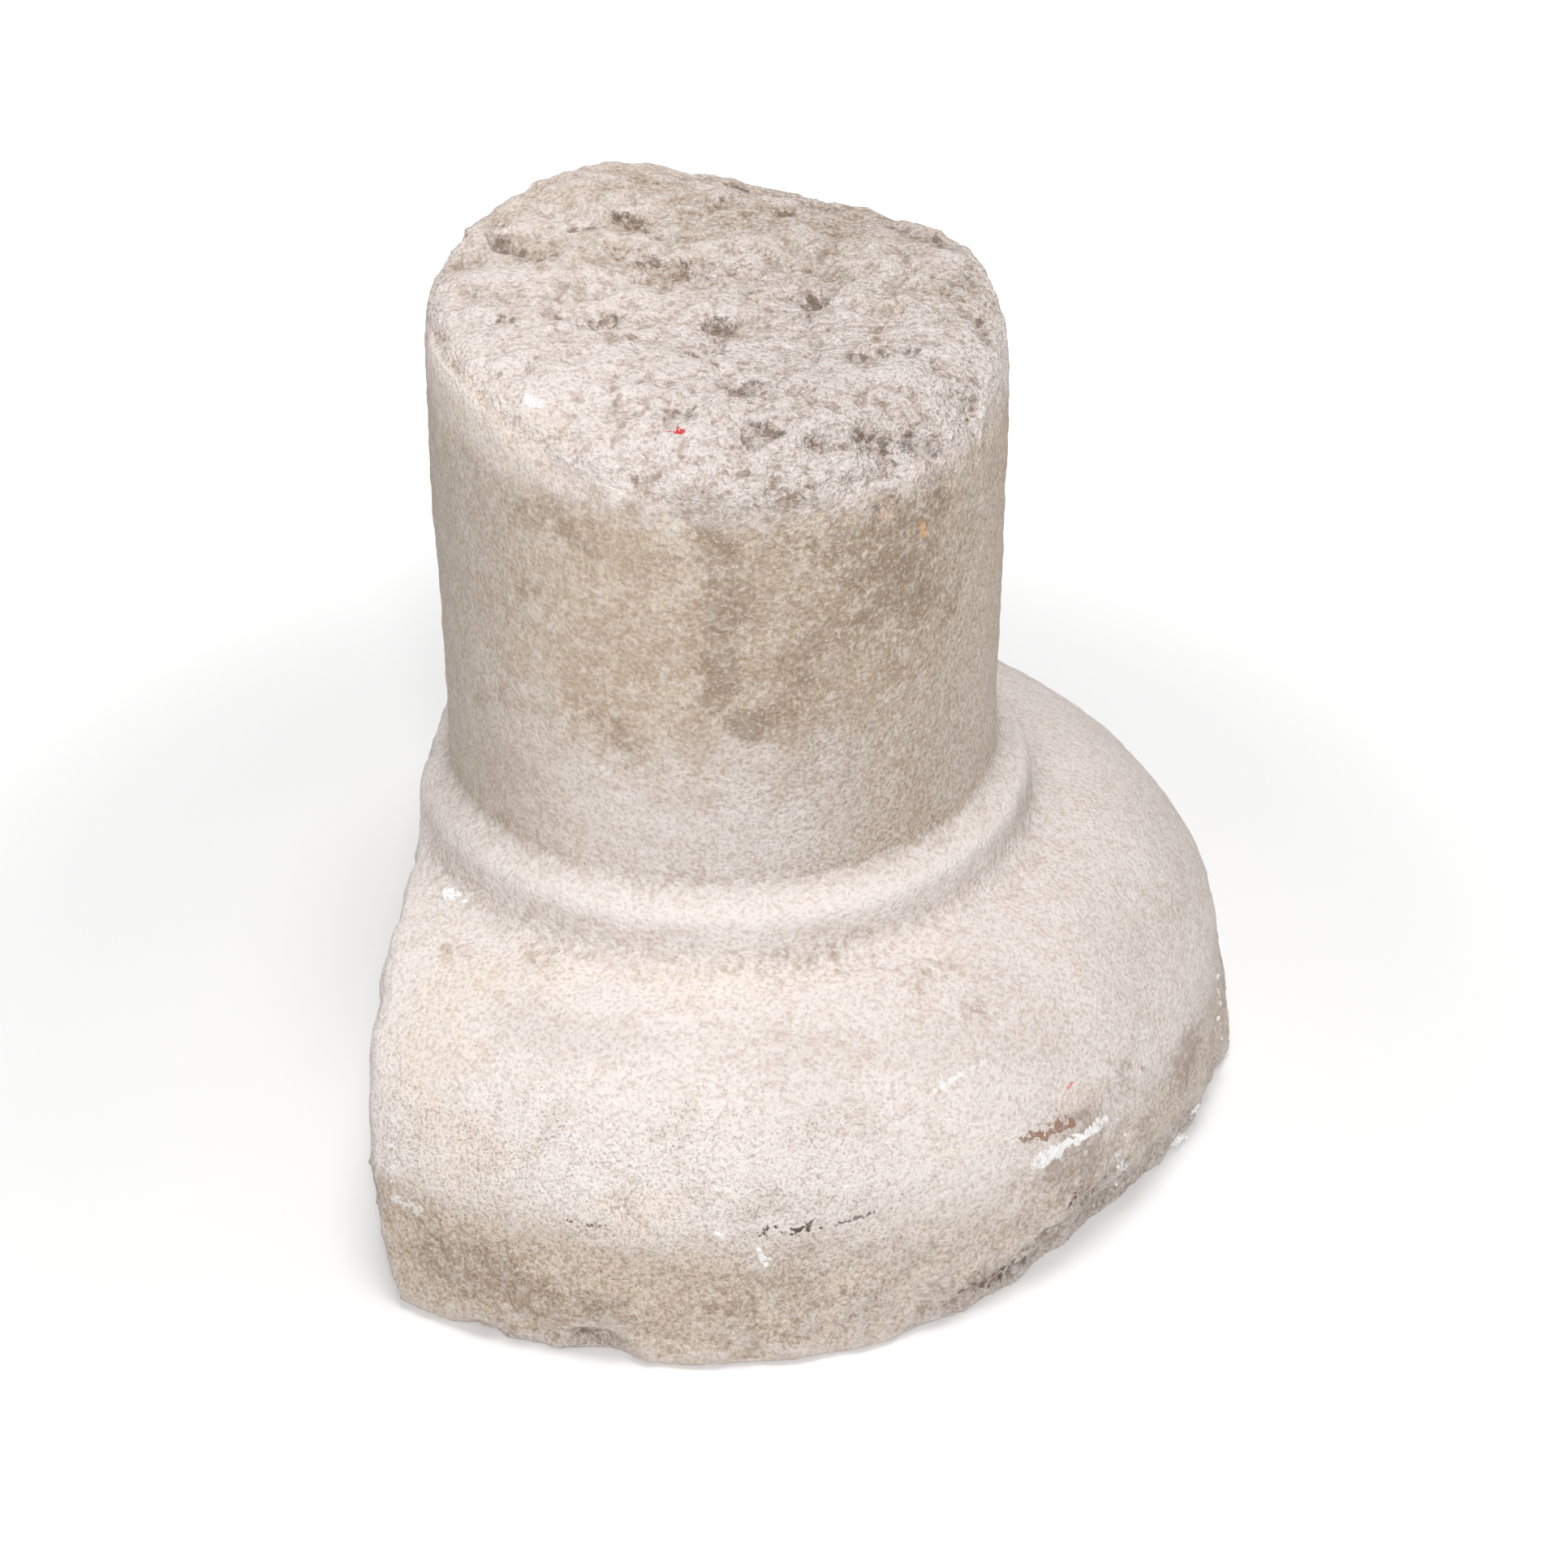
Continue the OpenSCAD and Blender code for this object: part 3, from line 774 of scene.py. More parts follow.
def relief_tree():
    """Geometry nodes that wear the edges round and raise the relief of carved and broken faces."""
    outputs = {"Geometry": "Geometry"}
    wires, start, end = new_group("Weathered relief", "GeometryNodeTree", RELIEF_INPUTS, outputs)

    def blurred(vector, passes, weight=1.0):
        node = wires.add("GeometryNodeBlurAttribute", data_type="FLOAT_VECTOR")
        wires.feed(next(s for s in node.inputs if s.type == "VECTOR" and s.enabled), vector)
        wires.feed(node.inputs["Iterations"], passes)
        wires.feed(node.inputs["Weight"], weight)
        return next(s for s in node.outputs if s.type == "VECTOR" and s.enabled)

    def named(name):
        return wires.add("GeometryNodeInputNamedAttribute", {"Name": name}, data_type="FLOAT").outputs[0]

    def stored(geometry, name, kind, value):
        inputs = {"Geometry": geometry, "Name": name, "Value": value}
        node = wires.add("GeometryNodeStoreNamedAttribute", inputs, data_type=kind, domain="POINT")
        return node.outputs[0]

    def waves(name, detail, roughness):
        """Noise about zero, as high and as wide as the tree's inputs of this name say."""
        fac = wires.noise(place, start[f"{name} size"], detail, roughness)
        return wires.swing(fac, wires.times(start[f"{name} height"], NOISE_GAIN))

    place = wires.add("GeometryNodeInputPosition").outputs[0]
    normal = wires.add("GeometryNodeInputNormal").outputs[0]
    broken = named("broken")
    rounded = blurred(place, start["Edge wear passes"], named("edge_wear"))
    worn = wires.add("GeometryNodeSetPosition", {"Geometry": start["Geometry"], "Position": rounded})

    height = wires.add("ShaderNodeSeparateXYZ", {0: place}).outputs["Z"]
    foot = wires.plus(wires.step(height, *FOOT_ZONE), wires.step(height, *LOW_FOOT_ZONE))
    carved = wires.minus(1.0, broken)
    patchy = wires.step(wires.noise(place, GRIT_PATCH, 2.0, 0.5), 0.38, 0.62)

    swell = waves("Swell", 2.0, 0.5)
    pitting = wires.times(waves("Pitting", 3.0, 0.6), wires.larger(carved, 0.3))
    crags = wires.times(waves("Break", 3.0, 0.5), broken)
    grit = wires.times(waves("Grit", 3.0, 0.6), broken, wires.plus(0.35, patchy))
    rugged = wires.times(waves("Foot", 4.0, 0.6), foot)
    total = wires.times(wires.plus(swell, pitting, crags, grit, rugged), wires.step(height, *OFF_GROUND))
    offset = wires.scaled(normal, total)
    raised = wires.add("GeometryNodeSetPosition", {"Geometry": worn.outputs[0], "Offset": offset})

    bulge = wires.vector("SUBTRACT", place, blurred(place, start["Hollow passes"]))
    wear = wires.math("DIVIDE", wires.vector("DOT_PRODUCT", bulge, normal), MM)
    geometry = stored(raised.outputs[0], "wear", "FLOAT", wear)
    tear = wires.noise(place, HOLLOW_TEAR, 4.0, 0.65, "Color")
    geometry = stored(geometry, "ragged", "FLOAT_VECTOR", wires.vector("SUBTRACT", tear, NOISE_MIDDLE))
    return wires.finish(end, geometry, start["Material"])


def press_hollows(mesh):
    """Presses the listed hollows into the stone, and keeps how dark each of them is painted, partly as
    soil and partly as painted shade.
    """
    points, normals = points_and_normals(mesh)
    ragged = np.empty(len(points) * 3)
    mesh.attributes["ragged"].data.foreach_get("vector", ragged)
    loose = points + ragged.reshape(-1, 3) * HOLLOW_RAGGEDNESS
    depth_field = np.zeros(len(points))
    dirt_and_shade_field = np.zeros(len(points))
    on_top = smooth_step(points[:, 2], *HOLLOWED_TOP)
    above_ground = smooth_step(points[:, 2], *CLEAR_OF_GROUND)
    for (x, y), (half_x, half_y), turn, depth, dirt in TOP_HOLLOWS:
        cos, sin = math.cos(math.radians(turn)), math.sin(math.radians(turn))
        across, back = loose[:, 0] - x, loose[:, 1] - y
        along = (across * cos + back * sin) / half_x
        aside = (back * cos - across * sin) / half_y
        reach = np.sqrt(along**2 + aside**2)
        sunk = HOLLOW_DEEPENING * depth * smooth_step(reach, *HOLLOW_REACH)
        depth_field = np.maximum(depth_field, sunk * on_top)
        dirt_and_shade_field = np.maximum(dirt_and_shade_field, dirt * smooth_step(reach, *TOP_DIRT_AND_SHADE_REACH) * on_top)
    for centre, halves, depth, dirt in SIDE_HOLLOWS:
        reach = np.sqrt((((loose - centre) / halves) ** 2).sum(1))
        depth_field = np.maximum(depth_field, depth * smooth_step(reach, *HOLLOW_REACH) * above_ground)
        dirt_and_shade_field = np.maximum(dirt_and_shade_field, dirt * smooth_step(reach, *SIDE_DIRT_AND_SHADE_REACH))
    set_points(mesh, points - normals * depth_field[:, None])
    store(mesh, "dirt", dirt_and_shade_field)


def inside_box(points):
    """Points held inside the CAD model's box."""
    low, high = np.array(CAD_BOX[0]) / MM, np.array(CAD_BOX[1]) / MM
    return np.clip(points, low + BOX_MARGIN, high - BOX_MARGIN)


def keep_in_box(mesh):
    """Holds every point inside the CAD model's box, and the underside flat on the ground."""
    points, normals = points_and_normals(mesh)
    points = inside_box(points)
    under = (normals[:, 2] < UNDERSIDE_NORMAL) & (points[:, 2] < UNDERSIDE_HEIGHT)
    points[under | (points[:, 2] < 2 * BOX_MARGIN), 2] = CAD_BOX[0][2] / MM
    set_points(mesh, points)


def ease_underside(mesh):
    """Joins the flat underside's small faces into one, which leaves the net's faces for the relief."""
    net = bmesh.new()
    net.from_mesh(mesh)
    flat = [face for face in net.faces if max(abs(vert.co.z) for vert in face.verts) < TINY]
    bmesh.ops.dissolve_faces(net, faces=flat, use_verts=True)
    net.to_mesh(mesh)
    net.free()
    mesh.update()


def carve_stone(context):
    """Makes the stone's piece: an even net over the CAD node, worn, with its relief and its marble."""
    scene = context.scene
    piece = even_net("weathered_stone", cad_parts[NODE], scene.column_form.net_size)
    mark_net(piece.data)
    modifier = piece.modifiers.new("Weathered relief", "NODES")
    modifier.node_group = relief_tree()
    set_inputs(modifier, values_by_label(scene.column_form))
    set_inputs(modifier, values_by_label(scene.column_relief))
    set_inputs(modifier, {"Material": marble(scene.column_colours)})
    mesh = make_plain(piece)
    press_hollows(mesh)
    keep_in_box(mesh)
    ease_underside(mesh)
    for name in ("ragged", "edge_wear"):
        mesh.attributes.remove(mesh.attributes[name])
    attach(piece, BODY)
    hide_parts(NODE)


# ---------------------------------------------------------------------------------------------------
# Crumbs that cling to the stone

CRUMB_INPUTS = {
    "Geometry": "Geometry",
    "Stone": "Object",
    "Material": "Material",
    "Seed": 5,
    "Lumpiness": 0.0012,
}
CRUMB_TURN = (0.0, 6.28)
CRUMB_STRETCH = (0.55, 1.3)


def crumb_tree():
    """Geometry nodes that set a lump on the stone at each point, turned and sized at random."""
    outputs = {"Geometry": "Geometry"}
    wires, start, end = new_group("Clinging crumbs", "GeometryNodeTree", CRUMB_INPUTS, outputs)

    def random_vector(low, high):
        inputs = {0: (low, low, low), 1: (high, high, high), "Seed": start["Seed"]}
        return wires.add("FunctionNodeRandomValue", inputs, data_type="FLOAT_VECTOR").outputs[0]

    stone = wires.add("GeometryNodeObjectInfo", {0: start["Stone"]}).outputs["Geometry"]
    nearest = wires.add("GeometryNodeProximity", {0: stone}, target_element="FACES").outputs["Position"]
    on_stone = wires.add("GeometryNodeSetPosition", {"Geometry": start["Geometry"], "Position": nearest})
    points = wires.add("GeometryNodeMeshToPoints", {"Mesh": on_stone.outputs[0]}).outputs[0]
    lump = wires.add("GeometryNodeMeshIcoSphere", {"Radius": 1.0, "Subdivisions": 2}).outputs[0]
    size = wires.add("GeometryNodeInputNamedAttribute", {"Name": "size"}, data_type="FLOAT").outputs[0]
    inputs = {"Points": points, "Instance": lump, "Rotation": random_vector(*CRUMB_TURN)}
    inputs["Scale"] = wires.scaled(random_vector(*CRUMB_STRETCH), size)
    placed = wires.add("GeometryNodeInstanceOnPoints", inputs)
    real = wires.add("GeometryNodeRealizeInstances", {0: placed.outputs[0]}).outputs[0]
    place = wires.add("GeometryNodeInputPosition").outputs[0]
    normal = wires.add("GeometryNodeInputNormal").outputs[0]
    push = wires.swing(wires.noise(place, CRUMB_LUMP, 2.0, 0.6), wires.times(start["Lumpiness"], 2.0))
    lumpy = wires.add("GeometryNodeSetPosition", {"Geometry": real, "Offset": wires.scaled(normal, push)})
    return wires.finish(end, lumpy.outputs[0], start["Material"])


def crumb_points(seed):
    """Where the crumbs lie, scattered about their places, and how large each is."""
    scatter = np.random.default_rng(seed)
    places, sizes = [], []
    for centre, spread, count, radius in CRUMBS:
        places.append(centre + scatter.normal(0, 1, (count, 3)) * spread)
        sizes.append(radius * scatter.uniform(0.5, 1.2, count))
    return np.concatenate(places) * MM, np.concatenate(sizes) * MM


def scatter_crumbs(context):
    """Makes the crumbs' piece, which sit on the stone's finished mesh."""
    seed = context.scene.column_form.crumb_seed
    places, sizes = crumb_points(seed)
    mesh = bpy.data.meshes.new("lime_crumbs")
    mesh.from_pydata(places.tolist(), [], [])
    store(mesh, "size", sizes)
    piece = add_object("lime_crumbs", mesh)
    modifier = piece.modifiers.new("Clinging crumbs", "NODES")
    modifier.node_group = crumb_tree()
    stone = bpy.data.objects["weathered_stone"]
    values = {"Stone": stone, "Material": lime(context.scene.column_colours), "Seed": seed}
    set_inputs(modifier, values)
    mesh = make_plain(piece)
    points, _ = points_and_normals(mesh)
    set_points(mesh, inside_box(points))
    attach(piece, BODY)


# ---------------------------------------------------------------------------------------------------
# The marble


def places_group():
    """Where a point lies on the stone, in millimetres."""
    outputs = {"Place": "Vector", "Across": "Float", "Back": "Float", "Height": "Float", "Radius": "Float"}
    wires, _, end = new_group("Places on the stone", "ShaderNodeTree", {}, outputs)
    place = wires.scaled(wires.add("ShaderNodeTexCoord").outputs["Object"], 1.0 / MM)
    split = wires.add("ShaderNodeSeparateXYZ", {0: place}).outputs
    flat = wires.add("ShaderNodeCombineXYZ", {0: split["X"], 1: split["Y"]}).outputs[0]
    wires.feed(end["Place"], place)
    wires.feed(end["Across"], split["X"])
    wires.feed(end["Back"], split["Y"])
    wires.feed(end["Height"], split["Z"])
    wires.feed(end["Radius"], wires.vector("LENGTH", flat))
    return wires.tree


def ragged_group():
    """A mask whose soft edge is torn up by noise. It stays empty where the mask it is given is empty."""
    inputs = {"Mask": 0.0, "Noise": 0.5, "Push": 1.0, "Softness": 0.2}
    wires, start, end = new_group("Ragged mask", "ShaderNodeTree", inputs, {"Mask": "Float"})
    level = wires.plus(start["Mask"], wires.swing(start["Noise"], start["Push"]))
    low, high = wires.minus(0.5, start["Softness"]), wires.plus(0.5, start["Softness"])
    near = wires.step(start["Mask"], 0.0, 0.15)
    wires.feed(end["Mask"], wires.times(wires.step(level, low, high), near))
    return wires.tree


def smear_group():
    """A smear from one place to another, with a ragged edge and broken up inside."""
    inputs = {"Place": "Vector", "Ragged": "Vector", "Speckle": 0.5, "From": "Vector", "To": "Vector"}
    inputs |= {"Half width": 1.0, "Raggedness": 1.0, "Break-up": 0.5}
    wires, start, end = new_group("Smear", "ShaderNodeTree", inputs, {"Mask": "Float"})
    push = wires.scaled(start["Ragged"], wires.times(start["Raggedness"], 5.0))
    offset = wires.vector("SUBTRACT", wires.vector("ADD", start["Place"], push), start["From"])
    run = wires.vector("SUBTRACT", start["To"], start["From"])
    along = wires.vector("DOT_PRODUCT", offset, run)
    share = wires.math("DIVIDE", along, wires.vector("DOT_PRODUCT", run, run), clamp=True)
    distance = wires.vector("LENGTH", wires.vector("SUBTRACT", offset, wires.scaled(run, share)))
    reach = wires.math("DIVIDE", distance, start["Half width"])
    gaps = wires.times(start["Break-up"], wires.minus(start["Speckle"], 0.35), 2.5)
    wires.feed(end["Mask"], wires.step(wires.plus(reach, gaps), 1.15, 0.8))
    return wires.tree


def speck_group():
    """Fine irregular specks, thicker where the density is higher."""
    inputs = {"Place": "Vector", "Size": 1.3, "Density": 0.3}
    wires, start, end = new_group("Specks", "ShaderNodeTree", inputs, {"Mask": "Float"})
    grain = wires.noise(start["Place"], start["Size"], 1.0, 0.5)
    threshold = wires.minus(0.76, wires.times(start["Density"], 0.2))
    wires.feed(end["Mask"], wires.step(grain, threshold, wires.plus(threshold, 0.05)))
    return wires.tree


def grain_group():
    """The marble's crystals, with painted light: pits darkened partly as soil and partly as painted shade,
    grains between them lightened partly as pale crystals and partly as painted glints, and a height about
    zero.
    """
    outputs = {"Pits": "Float", "Grains": "Float", "Height": "Float"}
    wires, start, end = new_group("Crystal grain", "ShaderNodeTree", {"Place": "Vector"}, outputs)
    grain = wires.noise(start["Place"], CRYSTAL, 3.0, 0.6)
    wires.feed(end["Pits"], wires.step(grain, 0.54, 0.34))
    wires.feed(end["Grains"], wires.step(grain, 0.52, 0.66))
    wires.feed(end["Height"], wires.swing(grain, 1.0))
    return wires.tree


def new_material(name):
    """An empty node material, and the wires of its tree."""
    material = bpy.data.materials.new(name)
    material.use_nodes = True
    material.node_tree.nodes.clear()
    return material, Wires(material.node_tree)


def marble(colours):
    """Weathered marble: clean stone, patina, clouds, grain, specks, soil, stains and paint, with painted
    shade in hollows, creases and pits, and painted glints on the grain.

    Places are in millimetres. A step gives the two values between which it rises from 0 to 1. Each layer
    is laid over what is there as far as the product of its shares. A number among them is its strength.
    """
    material, wires = new_material("Weathered marble")
    plus, minus, times, larger, swing = wires.plus, wires.minus, wires.times, wires.larger, wires.swing
    step, mix, blend = wires.step, wires.mix, wires.blend
    ragged_masks, smears, speckles = ragged_group(), smear_group(), speck_group()

    def named(name):
        return wires.add("ShaderNodeAttribute", attribute_name=name).outputs["Fac"]

    def laid(base, colour, *shares):
        return mix(times(*shares), base, colour)

    def ragged(mask, noise, push, softness):
        inputs = {"Mask": mask, "Noise": noise, "Push": push, "Softness": softness}
        return wires.use(ragged_masks, inputs)["Mask"]

    def specks(size, density):
        return wires.use(speckles, {"Place": place, "Size": size, "Density": density})["Mask"]

    places = wires.use(places_group())
    place, across, back = places["Place"], places["Across"], places["Back"]
    height, radius = places["Height"], places["Radius"]
    broken, wear, dirt = named("broken"), named("wear"), named("dirt")
    facing = wires.add("ShaderNodeNewGeometry").outputs["Normal"]
    up = wires.add("ShaderNodeSeparateXYZ", {0: facing}).outputs["Z"]
    wide = wires.noise(place, WIDE_CLOUD, 3.0, 0.5)
    cloudy = wires.noise(place, CLOUD, 6.0, 0.64)
    blots = wires.noise(place, BLOT, 4.0, 0.68)
    flecks = wires.noise(place, FLECK, 3.0, 0.65, "Color")
    speckle = wires.add("ShaderNodeSeparateColor", {0: flecks}).outputs[1]
    torn = plus(times(blots, 0.45), times(speckle, 0.55))

    # The stone itself: pale, cooler and pinker on the right, with grey and cream clouds.
    coolness = plus(step(across, -30.0, 170.0), swing(wide, 1.6))
    stone = mix(wires.math("MULTIPLY", coolness, 0.7, clamp=True), colours.clean, colours.cool)
    cream = ragged(named("cream"), cloudy, 1.6, 0.35)
    grey = ragged(named("grey"), plus(times(cloudy, 0.6), times(torn, 0.4)), 3.0, 0.40)
    stone = laid(stone, colours.cream, cream, 0.75)
    stone = laid(stone, colours.grey, grey, 0.40)

    # Patina of the shaft, lighter low on its front.
    on_shaft = step(radius, SHAFT_R + 7.0, SHAFT_R + 2.0)
    on_shaft = times(on_shaft, step(height, COLLAR_TOP - 2.0, COLLAR_TOP + 4.0))
    full = step(plus(height, swing(cloudy, 60.0)), 174.0, 234.0)
    sides = larger(step(across, -30.0, -105.0), times(step(across, 10.0, 80.0), 0.82))
    shaft = times(on_shaft, larger(full, larger(sides, 0.12)))
    blotch = step(plus(cloudy, swing(torn, 1.3), times(step(across, -30.0, 30.0), 0.10)), 0.36, 0.60)
    skin = mix(blotch, colours.shaft_pale, colours.shaft)
    skin = laid(skin, colours.shaft_grey, step(across, -50.0, -110.0), 0.8)
    skin = laid(skin, colours.shaft_pale, cream, 0.6)
    skin = laid(skin, colours.shaft_pale, step(across, 76.0, 108.0))
    skin = laid(skin, colours.grey, grey, 0.25)
    stone = laid(stone, skin, shaft, 0.92)

    # Patina of the foot band: brown-tan on the left, thinner and greyer on the right.
    rightness = step(across, -60.0, 110.0)
    edge_height = plus(height, swing(cloudy, 44.0), swing(torn, 30.0))
    band = step(edge_height, blend(rightness, 72.0, 64.0), blend(rightness, 46.0, 34.0))
    band = times(band, blend(rightness, 0.95, 0.8))
    band_skin = mix(rightness, colours.band, colours.band_grey)
    band_skin = laid(band_skin, colours.shaft_pale, step(plus(cloudy, swing(torn, 1.2)), 0.60, 0.38), 0.75)
    band_skin = laid(band_skin, colours.stain, step(plus(wide, swing(torn, 1.2)), 0.56, 0.74), 0.3)
    stone = laid(stone, band_skin, band)

    # Fine tan and grey mottling over all the carved skin.
    tan_patch = step(plus(blots, swing(speckle, 0.7), swing(cloudy, 0.8)), 0.42, 0.74)
    stone = laid(stone, colours.shaft, tan_patch, plus(0.26, times(band, 0.2)))
    stone = laid(stone, colours.grey, step(plus(blots, swing(cloudy, 1.0)), 0.48, 0.26), 0.24)

    # Broken faces, which fade out raggedly over the worn rim.
    old = plus(step(back, -40.0, 80.0), swing(cloudy, 2.6))
    fresh = mix(wires.math("MULTIPLY", old, 0.9, clamp=True), colours.broken, colours.broken_tan)
    fresh = laid(fresh, colours.cream, cream, 0.6)
    rim = ragged(times(named("rim"), 1.15), torn, 3.6, 0.25)
    rock = larger(times(broken, blend(step(up, 0.1, 0.5), 0.5, 0.95)), times(rim, 0.85))
    stone = laid(stone, fresh, rock)
    streaks = wires.noise(wires.vector("MULTIPLY", place, (0.8, 1.25, 1.0)), STREAK, 5.0, 0.68)
    mottle = step(plus(times(cloudy, 0.5), times(streaks, 0.5), swing(torn, 0.5)), 0.49, 0.66)
    stone = laid(stone, colours.stain, mottle, step(up, 0.2, 0.6), broken, 0.30)
    stone = laid(stone, colours.clean, step(plus(cloudy, swing(torn, 1.4)), 0.42, 0.28), rock, 0.45)

    # Stains.
    stains = ragged(named("stain"), plus(times(cloudy, 0.4), times(torn, 0.6)), 4.0, 0.34)
    stone = laid(stone, colours.stain, stains, 0.50)

    # Grain and specks, strongest where the skin is rough, and specks on the front of the bare cushion.
    rough_side = times(on_shaft, step(across, -60.0, 50.0))
    roughened = plus(0.5, times(broken, 0.4), times(rough_side, 0.4), times(band, 0.3))
    grain = wires.use(grain_group(), {"Place": place})
    pitted = plus(0.19, times(roughened, 0.24), times(band, 0.12))
    bright = plus(0.10, times(roughened, 0.42), times(band, 0.12))
    # Painted shade and glints: the grain's low spots are darkened, partly as soil, and its high spots are
    # lightened, partly as pale crystals.
    stone = laid(stone, colours.stain, grain["Pits"], pitted)
    stone = laid(stone, colours.clean, grain["Grains"], bright)
    front = times(step(back, -110.0, -200.0), step(height, 124.0, 84.0), step(across, 150.0, 40.0))
    bare_front = times(front, minus(1.0, times(band, 0.9)))
    density = plus(-0.3, times(bare_front, 1.2), swing(cloudy, 1.5), times(band, 0.9))
    stone = laid(stone, colours.dirt, specks(FINE_SPECK, density), 0.36)
    stone = laid(stone, colours.dirt, specks(COARSE_SPECK, minus(density, 0.2)), 0.26)
    pocks = specks(POCK, times(broken, plus(0.35, swing(cloudy, 2.0))))
    stone = laid(stone, colours.stain, pocks, broken, 0.5)

    # Soil and painted shade in the hollows and creases, and pale worn edges.
    # Painted shade, partly soil: a grey-brown halo and a dark core over each listed hollow, as dark as its
    # table says.
    halo = ragged(dirt, plus(times(cloudy, 0.5), times(blots, 0.5)), 2.6, 0.35)
    stone = laid(stone, colours.stain, halo, 0.38)
    core = ragged(minus(dirt, 0.20), torn, 6.0, 0.25)
    broken_up = plus(0.5, times(step(speckle, 0.40, 0.58), 0.5))
    stone = laid(stone, colours.dirt, core, broken_up, 0.62)
    # Painted shade, partly grime: creases and hollows, where the wear measure is below zero, are darkened
    # towards grey-brown.
    hollow = times(step(wear, -0.08, -0.4), larger(broken, 0.5), step(torn, 0.38, 0.6))
    stone = laid(stone, colours.stain, hollow, 0.45)
    stone = laid(stone, colours.clean, step(wear, 0.10, 0.55), 0.35)

    # Marks and paint.
    fine = wires.vector("SUBTRACT", flecks, NOISE_MIDDLE)
    for first, last, half_width, raggedness, break_up, colour, strength in SMEARS:
        inputs = {"Place": place, "Ragged": fine, "Speckle": speckle, "From": first, "To": last}
        inputs |= {"Half width": half_width, "Raggedness": raggedness, "Break-up": break_up}
        stone = laid(stone, getattr(colours, colour), wires.use(smears, inputs)["Mask"], strength)

    coarse = plus(0.25, times(broken, 0.9), times(rough_side, 1.1), times(band, 0.9))
    uneven = times(plus(swing(blots, 1.0), swing(speckle, 0.9)), coarse)
    relief = plus(times(grain["Height"], plus(0.35, times(roughened, 1.0))), uneven)
    bump = wires.add("ShaderNodeBump", {"Strength": 1.0, "Distance": STONE_BUMP, "Height": relief})
    inputs = {"Base Color": stone, "Roughness": blend(blots, 0.6, 0.9), "Normal": bump.outputs[0]}
    shader = wires.add("ShaderNodeBsdfPrincipled", inputs | {"Specular IOR Level": 0.35})
    wires.add("ShaderNodeOutputMaterial", {"Surface": shader.outputs[0]})
    return material


def lime(colours):
    """Old lime and paint: chalky, grained and a little dirty, with painted shade in its pits."""
    material, wires = new_material("Old lime")
    place = wires.use(bpy.data.node_groups["Places on the stone"])["Place"]
    grain = wires.use(bpy.data.node_groups["Crystal grain"], {"Place": place})
    whiteness = wires.step(wires.noise(place, LIME_PATCH, 1.0), 0.4, 0.6)
    colour = wires.mix(whiteness, colours.lime, colours.paint)
    colour = wires.mix(wires.times(grain["Pits"], 0.4), colour, colours.stain)
    roughness = wires.plus(0.85, wires.times(grain["Height"], 0.4))
    bump = wires.add("ShaderNodeBump", {"Strength": 0.8, "Distance": LIME_BUMP, "Height": grain["Height"]})
    inputs = {"Base Color": colour, "Roughness": roughness, "Normal": bump.outputs[0]}
    shader = wires.add("ShaderNodeBsdfPrincipled", inputs | {"Specular IOR Level": 0.3})
    wires.add("ShaderNodeOutputMaterial", {"Surface": shader.outputs[0]})
    return material


# ---------------------------------------------------------------------------------------------------
# The stage


def floor_material(colour):
    """Plain floor that the camera sees as white, apart from the stone's shadow."""
    material, wires = new_material("Pale floor")
    plain = wires.add("ShaderNodeBsdfDiffuse", {"Color": (*colour, 1.0)})
    place = wires.add("ShaderNodeTexCoord").outputs["Object"]
    away = wires.step(wires.vector("LENGTH", place), *FLOOR_FADE)
    seen = wires.add("ShaderNodeLightPath").outputs["Is Camera Ray"]
    lift = wires.times(seen, wires.blend(away, FLOOR_LIFT_NEAR, FLOOR_LIFT_FAR))
    white = wires.add("ShaderNodeEmission", {"Color": WHITE, "Strength": lift})
    both = wires.add("ShaderNodeAddShader", {0: plain.outputs[0], 1: white.outputs[0]})
    wires.add("ShaderNodeOutputMaterial", {"Surface": both.outputs[0]})
    return material


def add_floor(colour):
    """A square floor under the stone, which is no part of it."""
    mesh = bpy.data.meshes.new("floor")
    corners = [(x * FLOOR_HALF, y * FLOOR_HALF, 0) for x, y in ((-1, -1), (1, -1), (1, 1), (-1, 1))]
    mesh.from_pydata(corners, [], [(0, 1, 2, 3)])
    mesh.materials.append(floor_material(colour))
    floor = add_object("floor", mesh)


def add_lamp(name, place, target, size, power):
    """A round soft lamp of this size at one place, turned towards another."""
    lamp = bpy.data.lights.new(name, "AREA")
    lamp.shape = "DISK"
    lamp.size = size
    lamp.energy = power
    holder = add_object(name, lamp)
    holder.location = place
    holder.rotation_euler = (Vector(target) - Vector(place)).to_track_quat("-Z", "Y").to_euler()


def add_sky(strength):
    """Even light all round, which the camera sees as plain white."""
    world = bpy.data.worlds.new("Even sky")
    bpy.context.scene.world = world
    world.use_nodes = True
    world.node_tree.nodes.clear()
    wires = Wires(world.node_tree)
    paths = wires.add("ShaderNodeLightPath").outputs
    seen = wires.larger(paths["Is Camera Ray"], paths["Is Glossy Ray"])
    seen = wires.larger(seen, paths["Is Transmission Ray"])
    background = wires.add("ShaderNodeBackground", {"Color": WHITE})
    wires.feed(background.inputs["Strength"], wires.blend(seen, strength, 1.0))
    wires.add("ShaderNodeOutputWorld", {"Surface": background.outputs[0]})


